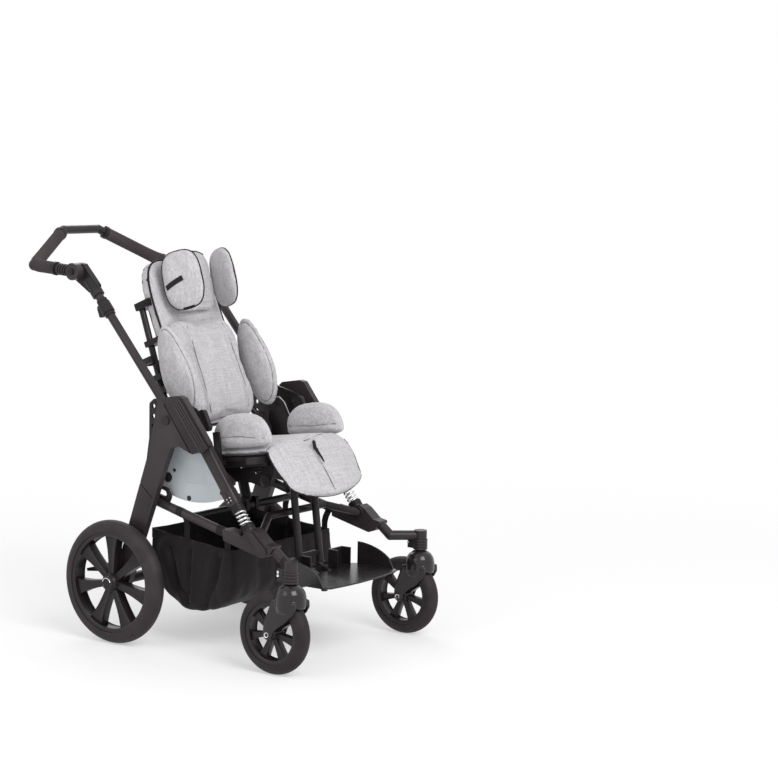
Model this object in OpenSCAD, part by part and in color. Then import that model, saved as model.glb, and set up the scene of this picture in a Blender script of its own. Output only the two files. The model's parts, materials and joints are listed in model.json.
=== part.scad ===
// Special needs buggy: tilting seat unit on a folding, sprung four-wheel frame
// Millimetres, +Z up, the child faces -Y, +X is the child's left

/* [Rear wheels] */
// Outer diameter of the rear tyre
rear_wheel_d = 300; // [286:1:310]
// Width of the rear tyre
rear_tyre_w = 46; // [40:1:47]
// Height of the rear tyre above its rim
rear_tyre_h = 28; // [24:1:32]
// Distance from the middle of the buggy to the middle of a rear wheel
rear_wheel_x = 267; // [267:1:275]
// Number of rear spokes
rear_spokes = 7; // [5:1:8]
// Diameter of the rear wheel hub
rear_hub_d = 44; // [40:1:50]
// Diameter of the axle pins
axle_d = 12; // [10:1:14]

/* [Casters] */
// Outer diameter of the caster tyre
caster_d = 193; // [185:1:198]
// Width of the caster tyre
caster_tyre_w = 40; // [34:1:42]
// Height of the caster tyre above its rim
caster_tyre_h = 24; // [20:1:27]
// Distance from the middle of the buggy to a swivel axis
caster_x = 263; // [258:1:270]
// Distance from the rear axle forward to the swivel axes
swivel_y = 531; // [524:1:545]
// Distance that the caster axle trails its swivel axis
caster_trail = 44; // [38:1:48]
// Number of caster spokes
caster_spokes = 7; // [5:1:8]
// Diameter of the swivel stem
stem_d = 14; // [12:1:16]
// Thickness of a fork blade
fork_blade_t = 6; // [5:1:8]
// Diameter of the fork's dome
fork_dome_d = 72; // [68:1:76]

/* [Side frame] */
// Distance from the middle of the buggy to the frame tubes
tube_x = 214; // [212:1:215]
// Diameter of the frame tubes
tube_d = 22; // [20:1:22]
// Width of the ribbed down tube, seen from the side
down_tube_w = 30; // [26:1:34]
// Thickness of a rear leg
leg_t = 17; // [15:1:17]
// Width of a rear leg, seen from the side
leg_w = 46; // [42:1:50]
// Thickness of the inner hub brackets
bracket_t = 6; // [5:1:7]
// Distance of the fold pivot ahead of the rear axle
fold_y = 139; // [136:1:142]
// Height of the fold pivot
fold_z = 552; // [549:1:555]
// Diameter of the fold pivot pins
fold_pin_d = 12; // [10:1:13]
// Angle of the down tubes from upright
down_tube_angle = 36.2; // [35:0.1:37]
// Length of the down tubes
down_tube_len = 212; // [206:1:216]
// Diameter of the cross tubes
cross_tube_d = 18; // [16:1:20]
// Mean diameter of the suspension springs
spring_d = 25; // [22:1:28]
// Diameter of the spring wire
spring_wire_d = 4.6; // [4:0.1:5]
// Length of the suspension springs
spring_len = 72; // [70:1:76]
// Turns of each suspension spring
spring_turns = 5; // [4:1:6]

/* [Push bar] */
// Angle of the push tubes from upright
push_angle = 40.7; // [40:0.1:41.5]
// Distance along a push tube from the fold pivot to its top
push_len = 404; // [396:1:412]
// Diameter of the push tubes
push_tube_d = 21; // [19:1:22]
// Diameter of the handle's angle joint
joint_d = 42; // [38:1:46]
// Distance from the middle of the buggy to the handle's ends
handle_x = 230; // [229:1:232]
// Distance from the angle joint back to the handle's corners
handle_reach = 135; // [125:1:145]
// Distance that the handle's peak stands above its corners
handle_rise = 81; // [70:1:90]
// Distance that the handle's peak stands behind its corners
handle_set_back = 61; // [55:1:70]
// Distance from the middle of the buggy to the ends of the straight top bar
peak_x = 64; // [56:1:72]
// Diameter of the bare handle bar
handle_bar_d = 22; // [20:1:23]
// Diameter of the foam grips
grip_d = 30; // [28:1:32]
// Length of a fold trigger
trigger_len = 46; // [40:1:50]
// Diameter of a fold trigger
trigger_d = 31; // [29:1:33]
// Travel of a fold trigger
trigger_travel = 10; // [8:1:11]

/* [Seat] */
// Thickness of the side plates
plate_t = 5; // [4:1:5]
// Radius of the side plates' lower edge
plate_r = 248; // [242:1:250]
// Diameter of the accessory bore in a side plate
plate_bore_d = 22; // [20:1:24]
// Angle of the seat above level
seat_angle = 8; // [6:1:10]
// Half width of the seat cushion
seat_half_w = 154; // [145:1:156]
// Thickness of the seat cushion
seat_t = 26; // [24:1:28]
// Length of the seat, from the back to the front bend
seat_len = 246; // [240:1:250]
// Length of the apron that hangs in front
apron_len = 138; // [120:1:150]
// Length of a hip pad
hip_len = 176; // [165:1:182]
// Height of a hip pad
hip_h = 84; // [76:1:90]
// Thickness of a hip pad
hip_t = 38; // [32:1:40]

/* [Back] */
// Lean of the back from upright
back_lean = 23; // [21:1:25]
// Half width of the back cushion
back_half_w = 130; // [122:1:134]
// Height of the back cushion
back_h = 282; // [270:1:284]
// Crown of the back cushion
back_crown = 34; // [28:1:38]
// Height of the back shell
shell_h = 448; // [442:1:452]
// Thickness of the back shell
shell_t = 22; // [18:1:24]
// Half width of the headrest's middle pad
head_half_w = 84; // [78:1:88]
// Height of the headrest
head_h = 158; // [150:1:162]
// Depth of the headrest wings, front to back
wing_depth = 110; // [102:1:114]
// Thickness of a headrest wing
wing_t = 32; // [28:1:36]
// Height of a side support pad
lateral_h = 236; // [220:1:240]
// Depth of a side support pad
lateral_depth = 104; // [96:1:108]
// Thickness of a side support pad
lateral_t = 36; // [30:1:38]

/* [Footrest] */
// Distance from the middle to a hanger tube
hanger_x = 40; // [38:1:42]
// Diameter of the hanger tubes
hanger_d = 18; // [16:1:19]
// Length of the hanger tubes
hanger_len = 214; // [205:1:220]
// Half width of the footplate
footplate_half_w = 145; // [135:1:148]
// Depth of the footplate
footplate_depth = 150; // [140:1:155]
// Height of the footplate's side walls
footplate_wall_h = 54; // [46:1:60]
// Thickness of the footplate's floor and walls
footplate_t = 4; // [3.5:0.5:5]
// Height of the heel cups
heel_cup_h = 46; // [40:1:50]

/* [Basket] */
// Half width of the basket
basket_half_w = 190; // [180:1:194]
// Length of the basket along its rim
basket_len = 245; // [230:1:250]
// Depth of the basket below its rim
basket_depth = 172; // [150:1:176]
// Thickness of the basket's cloth
basket_t = 3; // [2.5:0.5:4]

/* [Fits] */
// Radial clearance of pins and shafts that turn
run_fit = 0.05; // [0.02:0.01:0.09]
// Gap between neighbouring layers of the side frame
layer_gap = 1; // [0.8:0.1:1.2]
// Gap around soft parts
soft_gap = 1.5; // [1:0.5:2]

/* [Hidden] */
$fn = 64;

// Layers of the side frame, from the middle of the buggy outwards
tube_in = tube_x - tube_d / 2;
tube_out = tube_x + tube_d / 2;
leg_in = tube_out + layer_gap;
leg_out = leg_in + leg_t;
bracket_out = tube_in - layer_gap;
bracket_in = bracket_out - bracket_t;
plate_out = bracket_in - 2 * layer_gap;
plate_in = plate_out - plate_t;

// Main points as [y, z], with the rear axle at y = 0 and the floor at z = 0
rear_axle = [0, rear_wheel_d / 2];
caster_axle = [caster_trail - swivel_y, caster_d / 2];
fold = [-fold_y, fold_z];
down_dir = [-sin(down_tube_angle), -cos(down_tube_angle)];
down_top = fold + [-66, -14];
down_end = down_top + down_tube_len * down_dir;
spring_foot = down_end + spring_len * down_dir;
latch = [-60, 356];
lug_in = spring_foot + [67, -12];
front_start = spring_foot + [-75, -36];
arm_dir = (lug_in - latch) / norm(lug_in - latch);
push_dir = [sin(push_angle), cos(push_angle)];
push_top = fold + push_len * push_dir;
joint = push_top + [42, 30];
corner = joint + [handle_reach, 10];
peak = corner + [handle_set_back, handle_rise];
bar_step = (corner - joint) / handle_reach;
bracket_foot = [-62, 436];
catch_pivot = fold + [-56, 10];
arc_mid = fold + [-46, 51];
strut_foot = [-196, 324];
strut_head = [-165, 428];
seat_rear = [-151, 475];
recline = [-122, 468];
back_foot = [-121, 505];
hanger_top = [-364, 402];
hanger_angle = 7;
brake_pivot = rear_axle + [46, 22];
head_foot_z = caster_d + 24;
head_top_z = head_foot_z + 48;
fork_top_z = head_foot_z - 2;
head_mid_z = head_top_z - 13;
front_bend = [front_start.x - 26, head_mid_z];
front_dir = (front_bend - front_start) / norm(front_bend - front_start);
front_up = [front_dir.y, -front_dir.x];

// The model is centred between its front and rear ends
mid_y = (peak.x + handle_bar_d / 2 + caster_axle.x - caster_d / 2) / 2;

anthracite = [0.24, 0.23, 0.235];
black = [0.11, 0.1, 0.11];
tyre_black = [0.22, 0.21, 0.21];
plate_grey = [0.7, 0.73, 0.75];
cloth_grey = [0.78, 0.78, 0.79];
silver = [0.75, 0.75, 0.77];

function unit(v) = v / norm(v);
function corner_arc(a, b, c, r, n) =
    let (u = unit(a - b), w = unit(c - b), half = acos(u * w) / 2)
    let (t = min(r / tan(half), 0.45 * norm(a - b), 0.45 * norm(c - b)), rr = t * tan(half))
    let (m = b + unit(u + w) * rr / sin(half), p = b + u * t - m, q = b + w * t - m)
    let (start = atan2(p.y, p.x), turn = atan2(q.y, q.x) - start)
    let (sweep = turn > 180 ? turn - 360 : turn < -180 ? turn + 360 : turn)
    [for (i = [0:n]) m + rr * [cos(start + sweep * i / n), sin(start + sweep * i / n)]];
// Outline with every corner rounded to radius r
function rounded(pts, r, n = 4) =
    let (k = len(pts))
    [for (i = [0:k - 1]) each corner_arc(pts[(i + k - 1) % k], pts[i], pts[(i + 1) % k], r, n)];
function at(x, p) = [x, p.x, p.y];

module place() translate([0, -mid_y, 0]) children();
module flip() mirror([1, 0, 0]) children();
module both() {
    children();
    flip() children();
}
// Extrudes a side outline of [y, z] points from x0 to x1
module slab(x0, x1) translate([x0, 0, 0]) rotate([90, 0, 90]) linear_extrude(x1 - x0) children();
// Cylinder along X through the point [y, z]
module cross_pin(p, x0, x1, d) translate([x0, p.x, p.y]) rotate([0, 90, 0]) cylinder(h = x1 - x0, d = d);
// Cylinder from point p to point q, turned about itself by spin
module rod(p, q, d, spin = 0) {
    v = q - p;
    translate(p) rotate([0, acos(v.z / norm(v)), atan2(v.y, v.x)]) rotate(spin) cylinder(h = norm(v), d = d);
}
// Tube through a list of points, with a ball of diameter ball in each bend
module bent_tube(pts, d, ball, spin = 0) {
    for (i = [0:len(pts) - 2]) rod(pts[i], pts[i + 1], d, spin);
    for (i = [1:len(pts) - 2]) translate(pts[i]) sphere(d = ball);
}
// Closed skin over rings of equal length, with a fan at each end
module loft(rings) {
    n = len(rings[0]);
    m = len(rings);
    ends = [for (r = [rings[0], rings[m - 1]])
        [for (k = [0:2]) let (c = [for (p = r) p[k]]) c * [for (p = r) 1] / n]];
    polyhedron(concat([for (r = rings) each r], ends), concat(
        [for (j = [0:m - 2], i = [0:n - 1]) [j * n + i, j * n + (i + 1) % n, (j + 1) * n + i]],
        [for (j = [0:m - 2], i = [0:n - 1])
            [j * n + (i + 1) % n, (j + 1) * n + (i + 1) % n, (j + 1) * n + i]],
        [for (i = [0:n - 1]) [m * n, (i + 1) % n, i]],
        [for (i = [0:n - 1]) [m * n + 1, (m - 1) * n + i, (m - 1) * n + (i + 1) % n]]));
}
// Distance from point p to the line a-b, for sewn channels
function off_line(p, a, b) =
    let (k = min(1, max(0, (p - a) * (b - a) / ((b - a) * (b - a)))))
    norm(p - a - k * (b - a));
function sewn(p, seams) =
    max(concat([0], [for (s = seams) s[2] * exp(-pow(off_line(p, s[0], s[1]) / 7, 2))]));
// Stuffed pad on an outline in the XZ plane: crown towards -Y, flatter towards +Y
pad_steps = [0.12, 0.4, 0.66, 0.86, 0.97];
function pad_ring(outline, c, s, y, seams) =
    [for (p = outline) let (q = c + s * (p - c)) [q.x, y + (y < 0 ? sewn(q, seams) : 0), q.y]];
module pad(outline, front, back, seams = []) {
    c = [for (k = [0:1]) ([for (p = outline) p[k]] * [for (p = outline) 1]) / len(outline)];
    loft(concat(
        [for (s = pad_steps) pad_ring(outline, c, s, -front * sqrt(1 - pow(s, 2.6)), seams)],
        [pad_ring(outline, c, 1, 0, [])],
        [for (i = [1:len(pad_steps)]) let (s = pad_steps[len(pad_steps) - i])
            pad_ring(outline, c, s, back * sqrt(1 - pow(s, 3.5)), [])]));
}
// Outline of a cushion: a rounded box whose straight sides are drawn in by pull
function cushion_outline(half_w, h, n, pull, power = 5) =
    [for (i = [0:n - 1]) let (a = 360 * i / n, c = cos(a), s = sin(a))
        let (r = pow(pow(abs(c), power) + pow(abs(s), power), -1 / power), draw = 1 - pull * pow(cos(2 * a), 2))
        [half_w * c * r * draw, h / 2 + h / 2 * s * r * draw]];

// Places a child that is drawn in the back's own frame: X across, Z up the back, -Y forwards
module on_back() translate(at(0, back_foot)) rotate([-back_lean, 0, 0]) children();
// Places a child that is drawn in the seat's own frame: X across, -Y forwards, Z off the seat
module on_seat() translate(at(0, seat_rear)) rotate([-seat_angle, 0, 0]) children();
// Places a child along a hanger: Z up the hanger from its top
module on_hanger() translate(at(0, hanger_top)) rotate([-hanger_angle, 0, 0]) children();

// Wheels, drawn about Z and then turned to run along X
module wheel_at(x, p) translate(at(x, p)) rotate([0, 90, 0]) children();
module tyre(d, w, h) {
    r = w / 2;
    rotate_extrude($fn = 96) intersection() {
        translate([d / 2 - r, 0]) circle(r = r);
        translate([d / 2 - h, -w]) square([h, 2 * w]);
    }
}
// Rim band with a shallow well that the tyre sits on
module rim_band(r, w) {
    rotate_extrude($fn = 96) polygon([[r - 9, -w * 0.36], [r - 0.2, -w * 0.42], [r - 0.2, w * 0.42],
        [r - 9, w * 0.36], [r - 6, w * 0.2], [r - 6, -w * 0.2]]);
}
// Deep flared spoke with a pocket by the rim on both faces
module spoke(hub_r, rim_r, root_w, tip_w, t) {
    neck = hub_r + 0.45 * (rim_r - hub_r);
    difference() {
        translate([0, 0, -t / 2]) linear_extrude(t)
            polygon([[hub_r - 4, -root_w / 2], [neck, -root_w * 0.4], [rim_r, -tip_w / 2],
                [rim_r, tip_w / 2], [neck, root_w * 0.4], [hub_r - 4, root_w / 2]]);
        for (z = [t * 0.2, -t * 0.7]) translate([0, 0, z]) linear_extrude(t / 2)
            polygon([[neck + 6, 0], [rim_r - 4, -tip_w * 0.3], [rim_r - 4, tip_w * 0.3]]);
    }
}
// Root width at which neighbouring spokes stay apart on a hub
function spoke_root(hub_r, count) = 1.7 * hub_r * sin(180 / count);
module rear_rim() {
    r = rear_wheel_d / 2 - rear_tyre_h;
    hub_r = rear_hub_d / 2;
    difference() {
        union() {
            rim_band(r, rear_tyre_w);
            for (i = [0:rear_spokes - 1]) rotate(180 + 360 * i / rear_spokes)
                spoke(hub_r, r - 5, spoke_root(hub_r, rear_spokes), 46, 24);
            translate([0, 0, -rear_tyre_w / 2 + 3]) cylinder(h = rear_tyre_w - 3, r = hub_r);
            translate([0, 0, rear_tyre_w / 2]) cylinder(h = 6, r1 = hub_r - 4, r2 = hub_r - 9);
        }
        translate([0, 0, -rear_tyre_w]) cylinder(h = 1.5 * rear_tyre_w - 3, d = axle_d + 2 * run_fit);
    }
}
module rear_tyre_left() color(tyre_black) wheel_at(rear_wheel_x, rear_axle)
    tyre(rear_wheel_d, rear_tyre_w, rear_tyre_h);
module rear_tyre_right() flip() rear_tyre_left();
module rear_rim_left() color(black) wheel_at(rear_wheel_x, rear_axle) rear_rim();
module rear_rim_right() flip() rear_rim_left();

module caster_rim() {
    r = caster_d / 2 - caster_tyre_h;
    difference() {
        union() {
            rim_band(r, caster_tyre_w);
            for (i = [0:caster_spokes - 1]) rotate(180 + 360 * i / caster_spokes)
                spoke(15, r - 5, spoke_root(15, caster_spokes), 25, 18);
            translate([0, 0, -caster_tyre_w / 2]) cylinder(h = caster_tyre_w, r = 15);
        }
        translate([0, 0, -caster_tyre_w]) cylinder(h = 2 * caster_tyre_w, d = axle_d - 2 + 2 * run_fit);
    }
}
module caster_tyre_left() color(tyre_black) wheel_at(caster_x, caster_axle)
    tyre(caster_d, caster_tyre_w, caster_tyre_h);
module caster_tyre_right() flip() caster_tyre_left();
module caster_rim_left() color(black) wheel_at(caster_x, caster_axle) caster_rim();
module caster_rim_right() flip() caster_rim_left();

// Caster fork: a dome with two blades, its stem and the axle bolt
module caster_fork_left() color(anthracite) {
    blade_in = caster_tyre_w / 2 + 3;
    r = fork_dome_d / 2;
    space_r = caster_d / 2 + 4;
    translate([caster_x, -swivel_y, 0]) difference() {
        union() {
            translate([0, 0, fork_top_z]) rotate_extrude($fn = 72)
                polygon([[0, 0], [16, 0], [18, -5], [26, -7],
                    each [for (a = [60:-15:0]) [r - 8 + 8 * cos(a), -16 + 8 * sin(a)]],
                    [r, -44], [r - 4, -62], [0, -62]]);
            both() slab(blade_in, blade_in + fork_blade_t)
                polygon(rounded([[-28, fork_top_z - 30], [26, fork_top_z - 30], [28, fork_top_z - 60],
                    [caster_trail + 13, caster_d / 2], [caster_trail, caster_d / 2 - 15],
                    [caster_trail - 13, caster_d / 2], [-30, fork_top_z - 62]], 8));
            translate([0, 0, fork_top_z - 4]) cylinder(h = 42, d = stem_d);
            both() cross_pin([caster_trail, caster_d / 2], 0, blade_in + fork_blade_t + 4, 16);
        }
        difference() {
            cross_pin([caster_trail, caster_d / 2], -blade_in, blade_in, 2 * space_r);
            cross_pin([caster_trail, caster_d / 2], -blade_in - 1, blade_in + 1, axle_d - 2);
        }
    }
}
module caster_fork_right() flip() caster_fork_left();

// Swivel lock: a sprung tab behind the caster head
lock_r = 23;
module swivel_lock_left() color(silver) translate([caster_x, lock_r - swivel_y, head_foot_z]) {
    translate([0, 0, 3]) cylinder(h = 26, d = 7);
    translate([-6, 1, 22]) cube([12, 9, 7]);
}
module swivel_lock_right() flip() swivel_lock_left();

// Rear leg with the wide cover that hides the fold pivot
module rear_leg_left() color(anthracite) {
    half = leg_w / 2;
    foot_n = unit([-287, -105]) * half;
    difference() {
        union() {
            slab(leg_in, leg_out) polygon(rounded([fold + [26, 44], fold + [17, 52], fold + [-37, 61],
                fold + [-51, 58], fold + [-92, 5], fold + [-134, -50], fold + [-81, -74], fold + [-36, -57],
                fold + [-14, -66], fold + [13, -134], rear_axle + foot_n, rear_axle - foot_n,
                fold + [57, -90]], 7));
            cross_pin(rear_axle, leg_in, leg_out, leg_w);
            slab(leg_out - 1, leg_out + 4) polygon(rounded([fold + [-43, 56], fold + [-131, -54],
                fold + [-108, -70], fold + [-22, 38]], 5));
            slab(leg_in, leg_out) polygon(rounded([brake_pivot + [-40, -16], brake_pivot + [9, -13],
                brake_pivot + [13, 6], brake_pivot + [4, 13], brake_pivot + [-56, 24]], 6));
        }
        cross_pin(fold, leg_in - 1, leg_out + 1, fold_pin_d + 2 * run_fit);
        cross_pin(rear_axle, leg_in - 1, leg_out + 1, axle_d + 2 * run_fit);
        cross_pin(brake_pivot, leg_in - 1, leg_out + 1, axle_d + 2 * run_fit);
        slab(leg_out - 2, leg_out + 1)
            polygon([fold + [5, 38], fold + [8, 36], fold + [-78, -76], fold + [-81, -74]]);
        for (k = [6, 12.5, 19]) let (a = fold + [-40, 60] + k * [0.78, -0.62], b = a + [-110, -138])
            slab(leg_out + 2.6, leg_out + 5) polygon([a, a + [1.7, -1.4], b + [1.7, -1.4], b]);
        slab(leg_out - 1.5, leg_out + 1)
            polygon([latch + [10, 46], latch + [12, 44], latch + [-38, 4], latch + [-40, 6]]);
    }
}
module rear_leg_right() flip() rear_leg_left();

module rear_axle() color(black) {
    cross_pin(rear_axle, -leg_in + 0.3, leg_in - 0.3, 25);
    both() cross_pin(rear_axle, leg_in - 1, rear_wheel_x + rear_tyre_w / 2 - 4, axle_d);
}
// Parking brake: a bar through both legs with a pedal and two arms
module brake_bar() color(black) {
    cross_pin(brake_pivot, -leg_out - 0.3, leg_out + 0.3, axle_d);
    both() slab(leg_in - 14, leg_in - 2) polygon(rounded([brake_pivot + [12, -8], brake_pivot + [12, 8],
        brake_pivot + [-70, 62], brake_pivot + [-80, 48]], 5));
    slab(-55, 55) polygon(rounded([brake_pivot + [-9, -8], brake_pivot + [42, 6], brake_pivot + [44, 15],
        brake_pivot + [-9, 9]], 3));
}

// Inner hub bracket that carries both pivots, with a perforated rear edge
module hub_bracket_left() color(black) {
    difference() {
        union() {
            slab(bracket_in, bracket_out) polygon(rounded([fold + [74, 42], fold + [88, 30], fold + [88, -54],
                bracket_foot + [20, 4], latch + [17, 4], latch + [10, -14], latch + [-10, -14],
                latch + [-17, 4], bracket_foot + [-22, 4], fold + [46, -52],
                fold + [8, -46], fold + [-62, -54], fold + [-80, -50], fold + [-84, -16],
                fold + [-58, 28], fold + [-34, 36], fold + [12, 46]], 8));
            slab(bracket_out - 0.5, tube_in) polygon([down_top + [6, -2], down_top + 40 * down_dir + [8, -2],
                down_top + 40 * down_dir + [-8, 2], down_top + [-6, 0]]);
            cross_pin(fold, plate_in - 13, leg_out + 2, fold_pin_d);
            cross_pin(latch, bracket_out - 1, tube_out - 0.5, fold_pin_d);
            cross_pin(fold, leg_out + 0.4, leg_out + 4, fold_pin_d + 10);
        }
        cross_pin(bracket_foot, bracket_in - 1, bracket_in + 3, cross_tube_d + 2 * run_fit);
        for (i = [0:3]) cross_pin(fold + [75, 24 - 24 * i], bracket_in - 1, bracket_out + 1, 11);
    }
    cross_pin(catch_pivot, bracket_in - 13, bracket_in + 3, 6);
}
module hub_bracket_right() flip() hub_bracket_left();
module rear_cross_tube() color(black) cross_pin(bracket_foot, -bracket_in - 3, bracket_in + 3, cross_tube_d);

// Ribbed down tube with the upper seat of its spring
module down_tube_left() color(anthracite) {
    w = down_tube_w / 2;
    h = tube_d / 2;
    translate(at(tube_x, down_end)) rotate([-down_tube_angle, 0, 0]) {
        translate([0, 0, 8]) linear_extrude(down_tube_len - 8) difference() {
            polygon(rounded([[-h, -w], [h, -w], [h, w], [-h, w]], 5));
            for (y = [-6, 0, 6]) translate([h + 1, y]) circle(d = 4);
        }
        translate([0, 0, 3]) linear_extrude(34) difference() {
            polygon(rounded([[-h, -w - 2], [h + 3, -w - 2], [h + 3, w + 2], [-h, w + 2]], 6));
            translate([h + 3, 0]) circle(d = 6);
        }
        cylinder(h = 4, d = spring_d + 8);
        translate([0, 0, -8]) cylinder(h = 9, d = spring_d - spring_wire_d - 4);
    }
}
module down_tube_right() flip() down_tube_left();

// Coil spring: one unbroken wire with flat-lying end turns
spring_steps = 8;
spring_rise = spring_len - spring_wire_d - 4.8;
function spring_point(i) =
    let (k = i / spring_steps, a = 360 * k)
    [spring_d / 2 * cos(a), spring_d / 2 * sin(a), 4.4 + spring_wire_d / 2 + spring_rise * k / spring_turns];
spring_points = [for (i = [0:spring_steps * spring_turns]) spring_point(i)];
function wire_ring(i) =
    let (p = spring_points[i], a = 360 * i / spring_steps, out = [cos(a), sin(a), 0])
    [for (j = [0:5]) p + spring_wire_d / 2 * (cos(60 * j) * out + sin(60 * j) * [0, 0, 1])];
spring_gap = min([for (i = [0:len(spring_points) - 1], j = [i + spring_steps / 2:1:len(spring_points) - 1])
    norm(spring_points[i] - spring_points[j])]) - spring_wire_d;
echo("least gap between the turns of a suspension spring", spring_gap);
module suspension_spring_left() color(silver)
    translate(at(tube_x, spring_foot)) rotate([-down_tube_angle, 0, 0])
        loft([for (i = [0:len(spring_points) - 1]) wire_ring(i)]);
module suspension_spring_right() flip() suspension_spring_left();

// Sprung lower arm: tube, latch sleeve, cast lug, bent front tube and caster head
module lower_tube_left() color(anthracite) {
    rod(at(tube_x, latch + 76.2 * arm_dir), at(tube_x, lug_in + 16 * arm_dir), tube_d);
    rod(at(tube_x, latch + 22 * arm_dir), at(tube_x, latch + 78 * arm_dir), tube_d - 5 - 2 * run_fit);
}
module lower_tube_right() flip() lower_tube_left();
module latch_sleeves() color(black) both() difference() {
    union() {
        cross_pin(latch, tube_in + 0.5, tube_out - 0.3, 26);
        rod(at(tube_x, latch), at(tube_x, latch + 76 * arm_dir), tube_d - 0.6);
        slab(tube_in + 1, tube_in + 8) polygon(rounded([latch + [-6, 8], latch + [-14, 38], latch + [-58, 26],
            latch + [-68, 8], latch + [-58, -14]], 7));
    }
    cross_pin(latch, tube_in - 1, tube_out + 1, fold_pin_d + 2 * run_fit);
    rod(at(tube_x, latch + 20 * arm_dir), at(tube_x, latch + 90 * arm_dir), tube_d - 5);
    slab(tube_in, tube_in + 9) polygon(rounded([latch + [-18, 14], latch + [-20, 29], latch + [-52, 20],
        latch + [-56, 12], latch + [-50, 6]], 4));
}
module front_lug_left() color(anthracite) {
    s = spring_foot;
    across = [down_dir.y, -down_dir.x];
    face = front_start - 0.3 * front_dir;
    difference() {
        union() {
            slab(tube_in - 5, tube_out + 6) polygon(rounded([lug_in + [0, 14], s + [20, -4], s - 20 * across,
                s + 20 * across, s + [-32, 4], s + [-60, -20], face + 14 * front_up, face - 14 * front_up,
                s + [-46, -54], lug_in + [0, -14]], 4));
            slab(tube_out + 5, tube_out + 9) polygon(rounded([s + [-4, 2], s + [-20, 4], s + [-60, -32],
                s + [-64, -44], s + [-40, -44]], 4));
            translate(at(tube_x, s)) rotate([-down_tube_angle, 0, 0]) {
                translate([0, 0, -3]) cylinder(h = 7, d = spring_d + 8);
                cylinder(h = 12, d = spring_d - spring_wire_d - 4);
            }
        }
        rod(at(tube_x, lug_in - 20 * arm_dir), at(tube_x, lug_in + 16.3 * arm_dir), tube_d + 2 * run_fit);
    }
}
module front_lug_right() flip() front_lug_left();
module front_tube_left() color(anthracite) {
    difference() {
        union() {
            bent_tube([at(tube_x, front_start), at(tube_x, front_bend), [caster_x, -swivel_y, head_mid_z]],
                24, 24.6);
            translate([caster_x, -swivel_y, head_foot_z]) {
                cylinder(h = head_top_z - head_foot_z, d = 32);
                for (i = [0:3]) translate([0, 0, 1 + 7 * i]) cylinder(h = 4, d = 36);
                translate([-9, 10, 2]) cube([18, 22, 30]);
            }
        }
        translate([caster_x, -swivel_y, head_foot_z - 1]) cylinder(h = 41, d = stem_d + 2 * run_fit);
        translate([caster_x, lock_r - swivel_y, head_foot_z - 1]) cylinder(h = 40, d = 7 + 2 * run_fit);
        translate([caster_x - 7, lock_r - swivel_y, head_foot_z + 14]) cube([14, 20, 20]);
    }
}
module front_tube_right() flip() front_tube_left();
module cross_tubes() color(black) {
    s = spring_foot;
    bow = [-346, s.y + 20];
    side = s + [-18, -6];
    bent_tube([at(-tube_in + 10.2, side), at(-110, bow), at(110, bow), at(tube_in - 10.2, side)],
        cross_tube_d, cross_tube_d + 0.5);
    both() cross_pin(side, tube_in - 13, tube_in - 5.3, cross_tube_d + 8);
    cross_pin(strut_foot, -tube_in + 0.3, tube_in - 0.3, cross_tube_d);
    both() slab(strut_eye_w / 2 + layer_gap, strut_eye_w / 2 + 12) polygon(rounded([strut_foot + [-16, -14],
        strut_foot + [16, -14], strut_foot + [14, 22], strut_foot + [-14, 22]], 6));
}

// Cloth basket: a sagging tray that hangs from the lower tubes on loops
function basket_side(inset) =
    let (a = latch + [4, -80], b = a + [-basket_len, -26], d = basket_depth)
    rounded([a + [-inset, 40], a + [-inset, 0], a + [-12 - inset, -d * 0.78 + inset * 0.4],
        a + [-120, -d + inset * 1.3], b + [-2 + inset, -d * 0.62 + inset], b + [inset, 0],
        b + [inset, 40]], 12);
// Places of the loops along the lower tubes, from the latch
basket_loops = [82, 226];
module basket() color(black) {
    a = latch + [4, -80];
    w = basket_half_w;
    difference() {
        union() {
            intersection() {
                slab(-w, w) polygon(basket_side(0));
                slab(-w, w) polygon([a + [40, 4], a + [-basket_len - 40, -27], a + [-basket_len - 40, -300],
                    a + [40, -300]]);
            }
            both() for (k = basket_loops) {
                near = latch + k * arm_dir;
                far = near + 18 * arm_dir;
                rod(at(tube_x, near), at(tube_x, far), tube_d + 1.2);
                slab(w - basket_t, w) polygon([near + [0, 2], far + [0, 2], far + [0, -82], near + [0, -82]]);
                slab(w - basket_t, tube_in)
                    polygon([near + [0, 2], far + [0, 2], far + [0, -2], near + [0, -2]]);
            }
        }
        slab(-w + basket_t, w - basket_t) polygon(basket_side(basket_t));
        both() rod(at(tube_x, latch), at(tube_x, lug_in), tube_d + 0.6);
    }
}

// Push tubes, the angle joints and the fold triggers
module push_tube_left() color(anthracite) difference() {
    union() {
        rod(at(tube_x, fold), at(tube_x, push_top), push_tube_d);
        cross_pin(fold, tube_in, tube_out, 28);
    }
    cross_pin(fold, tube_in - 1, tube_out + 1, fold_pin_d + 2 * run_fit);
}
module push_tube_right() flip() push_tube_left();
module joint_housings() color(black) both() difference() {
    union() {
        rod(at(tube_x, push_top - (44 - trigger_travel) * push_dir), at(tube_x, push_top - 20 * push_dir),
            push_tube_d + 10);
        rod(at(tube_x, push_top - 26 * push_dir), at(tube_x, push_top + 14 * push_dir), push_tube_d + 6);
        slab(tube_x - 12, tube_x + 5) polygon(rounded([push_top - 18 * push_dir + [-11, 10], joint + [-14, 20],
            joint + [14, 16], joint + [14, -18], push_top - 18 * push_dir + [12, -9]], 7));
        cross_pin(joint, tube_x - 12, tube_x + 5, joint_d);
        cross_pin(joint, tube_x, tube_x + 16, 10);
    }
    rod(at(tube_x, push_top - 40 * push_dir), at(tube_x, push_top + 0.3 * push_dir), push_tube_d + 2 * run_fit);
}
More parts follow.
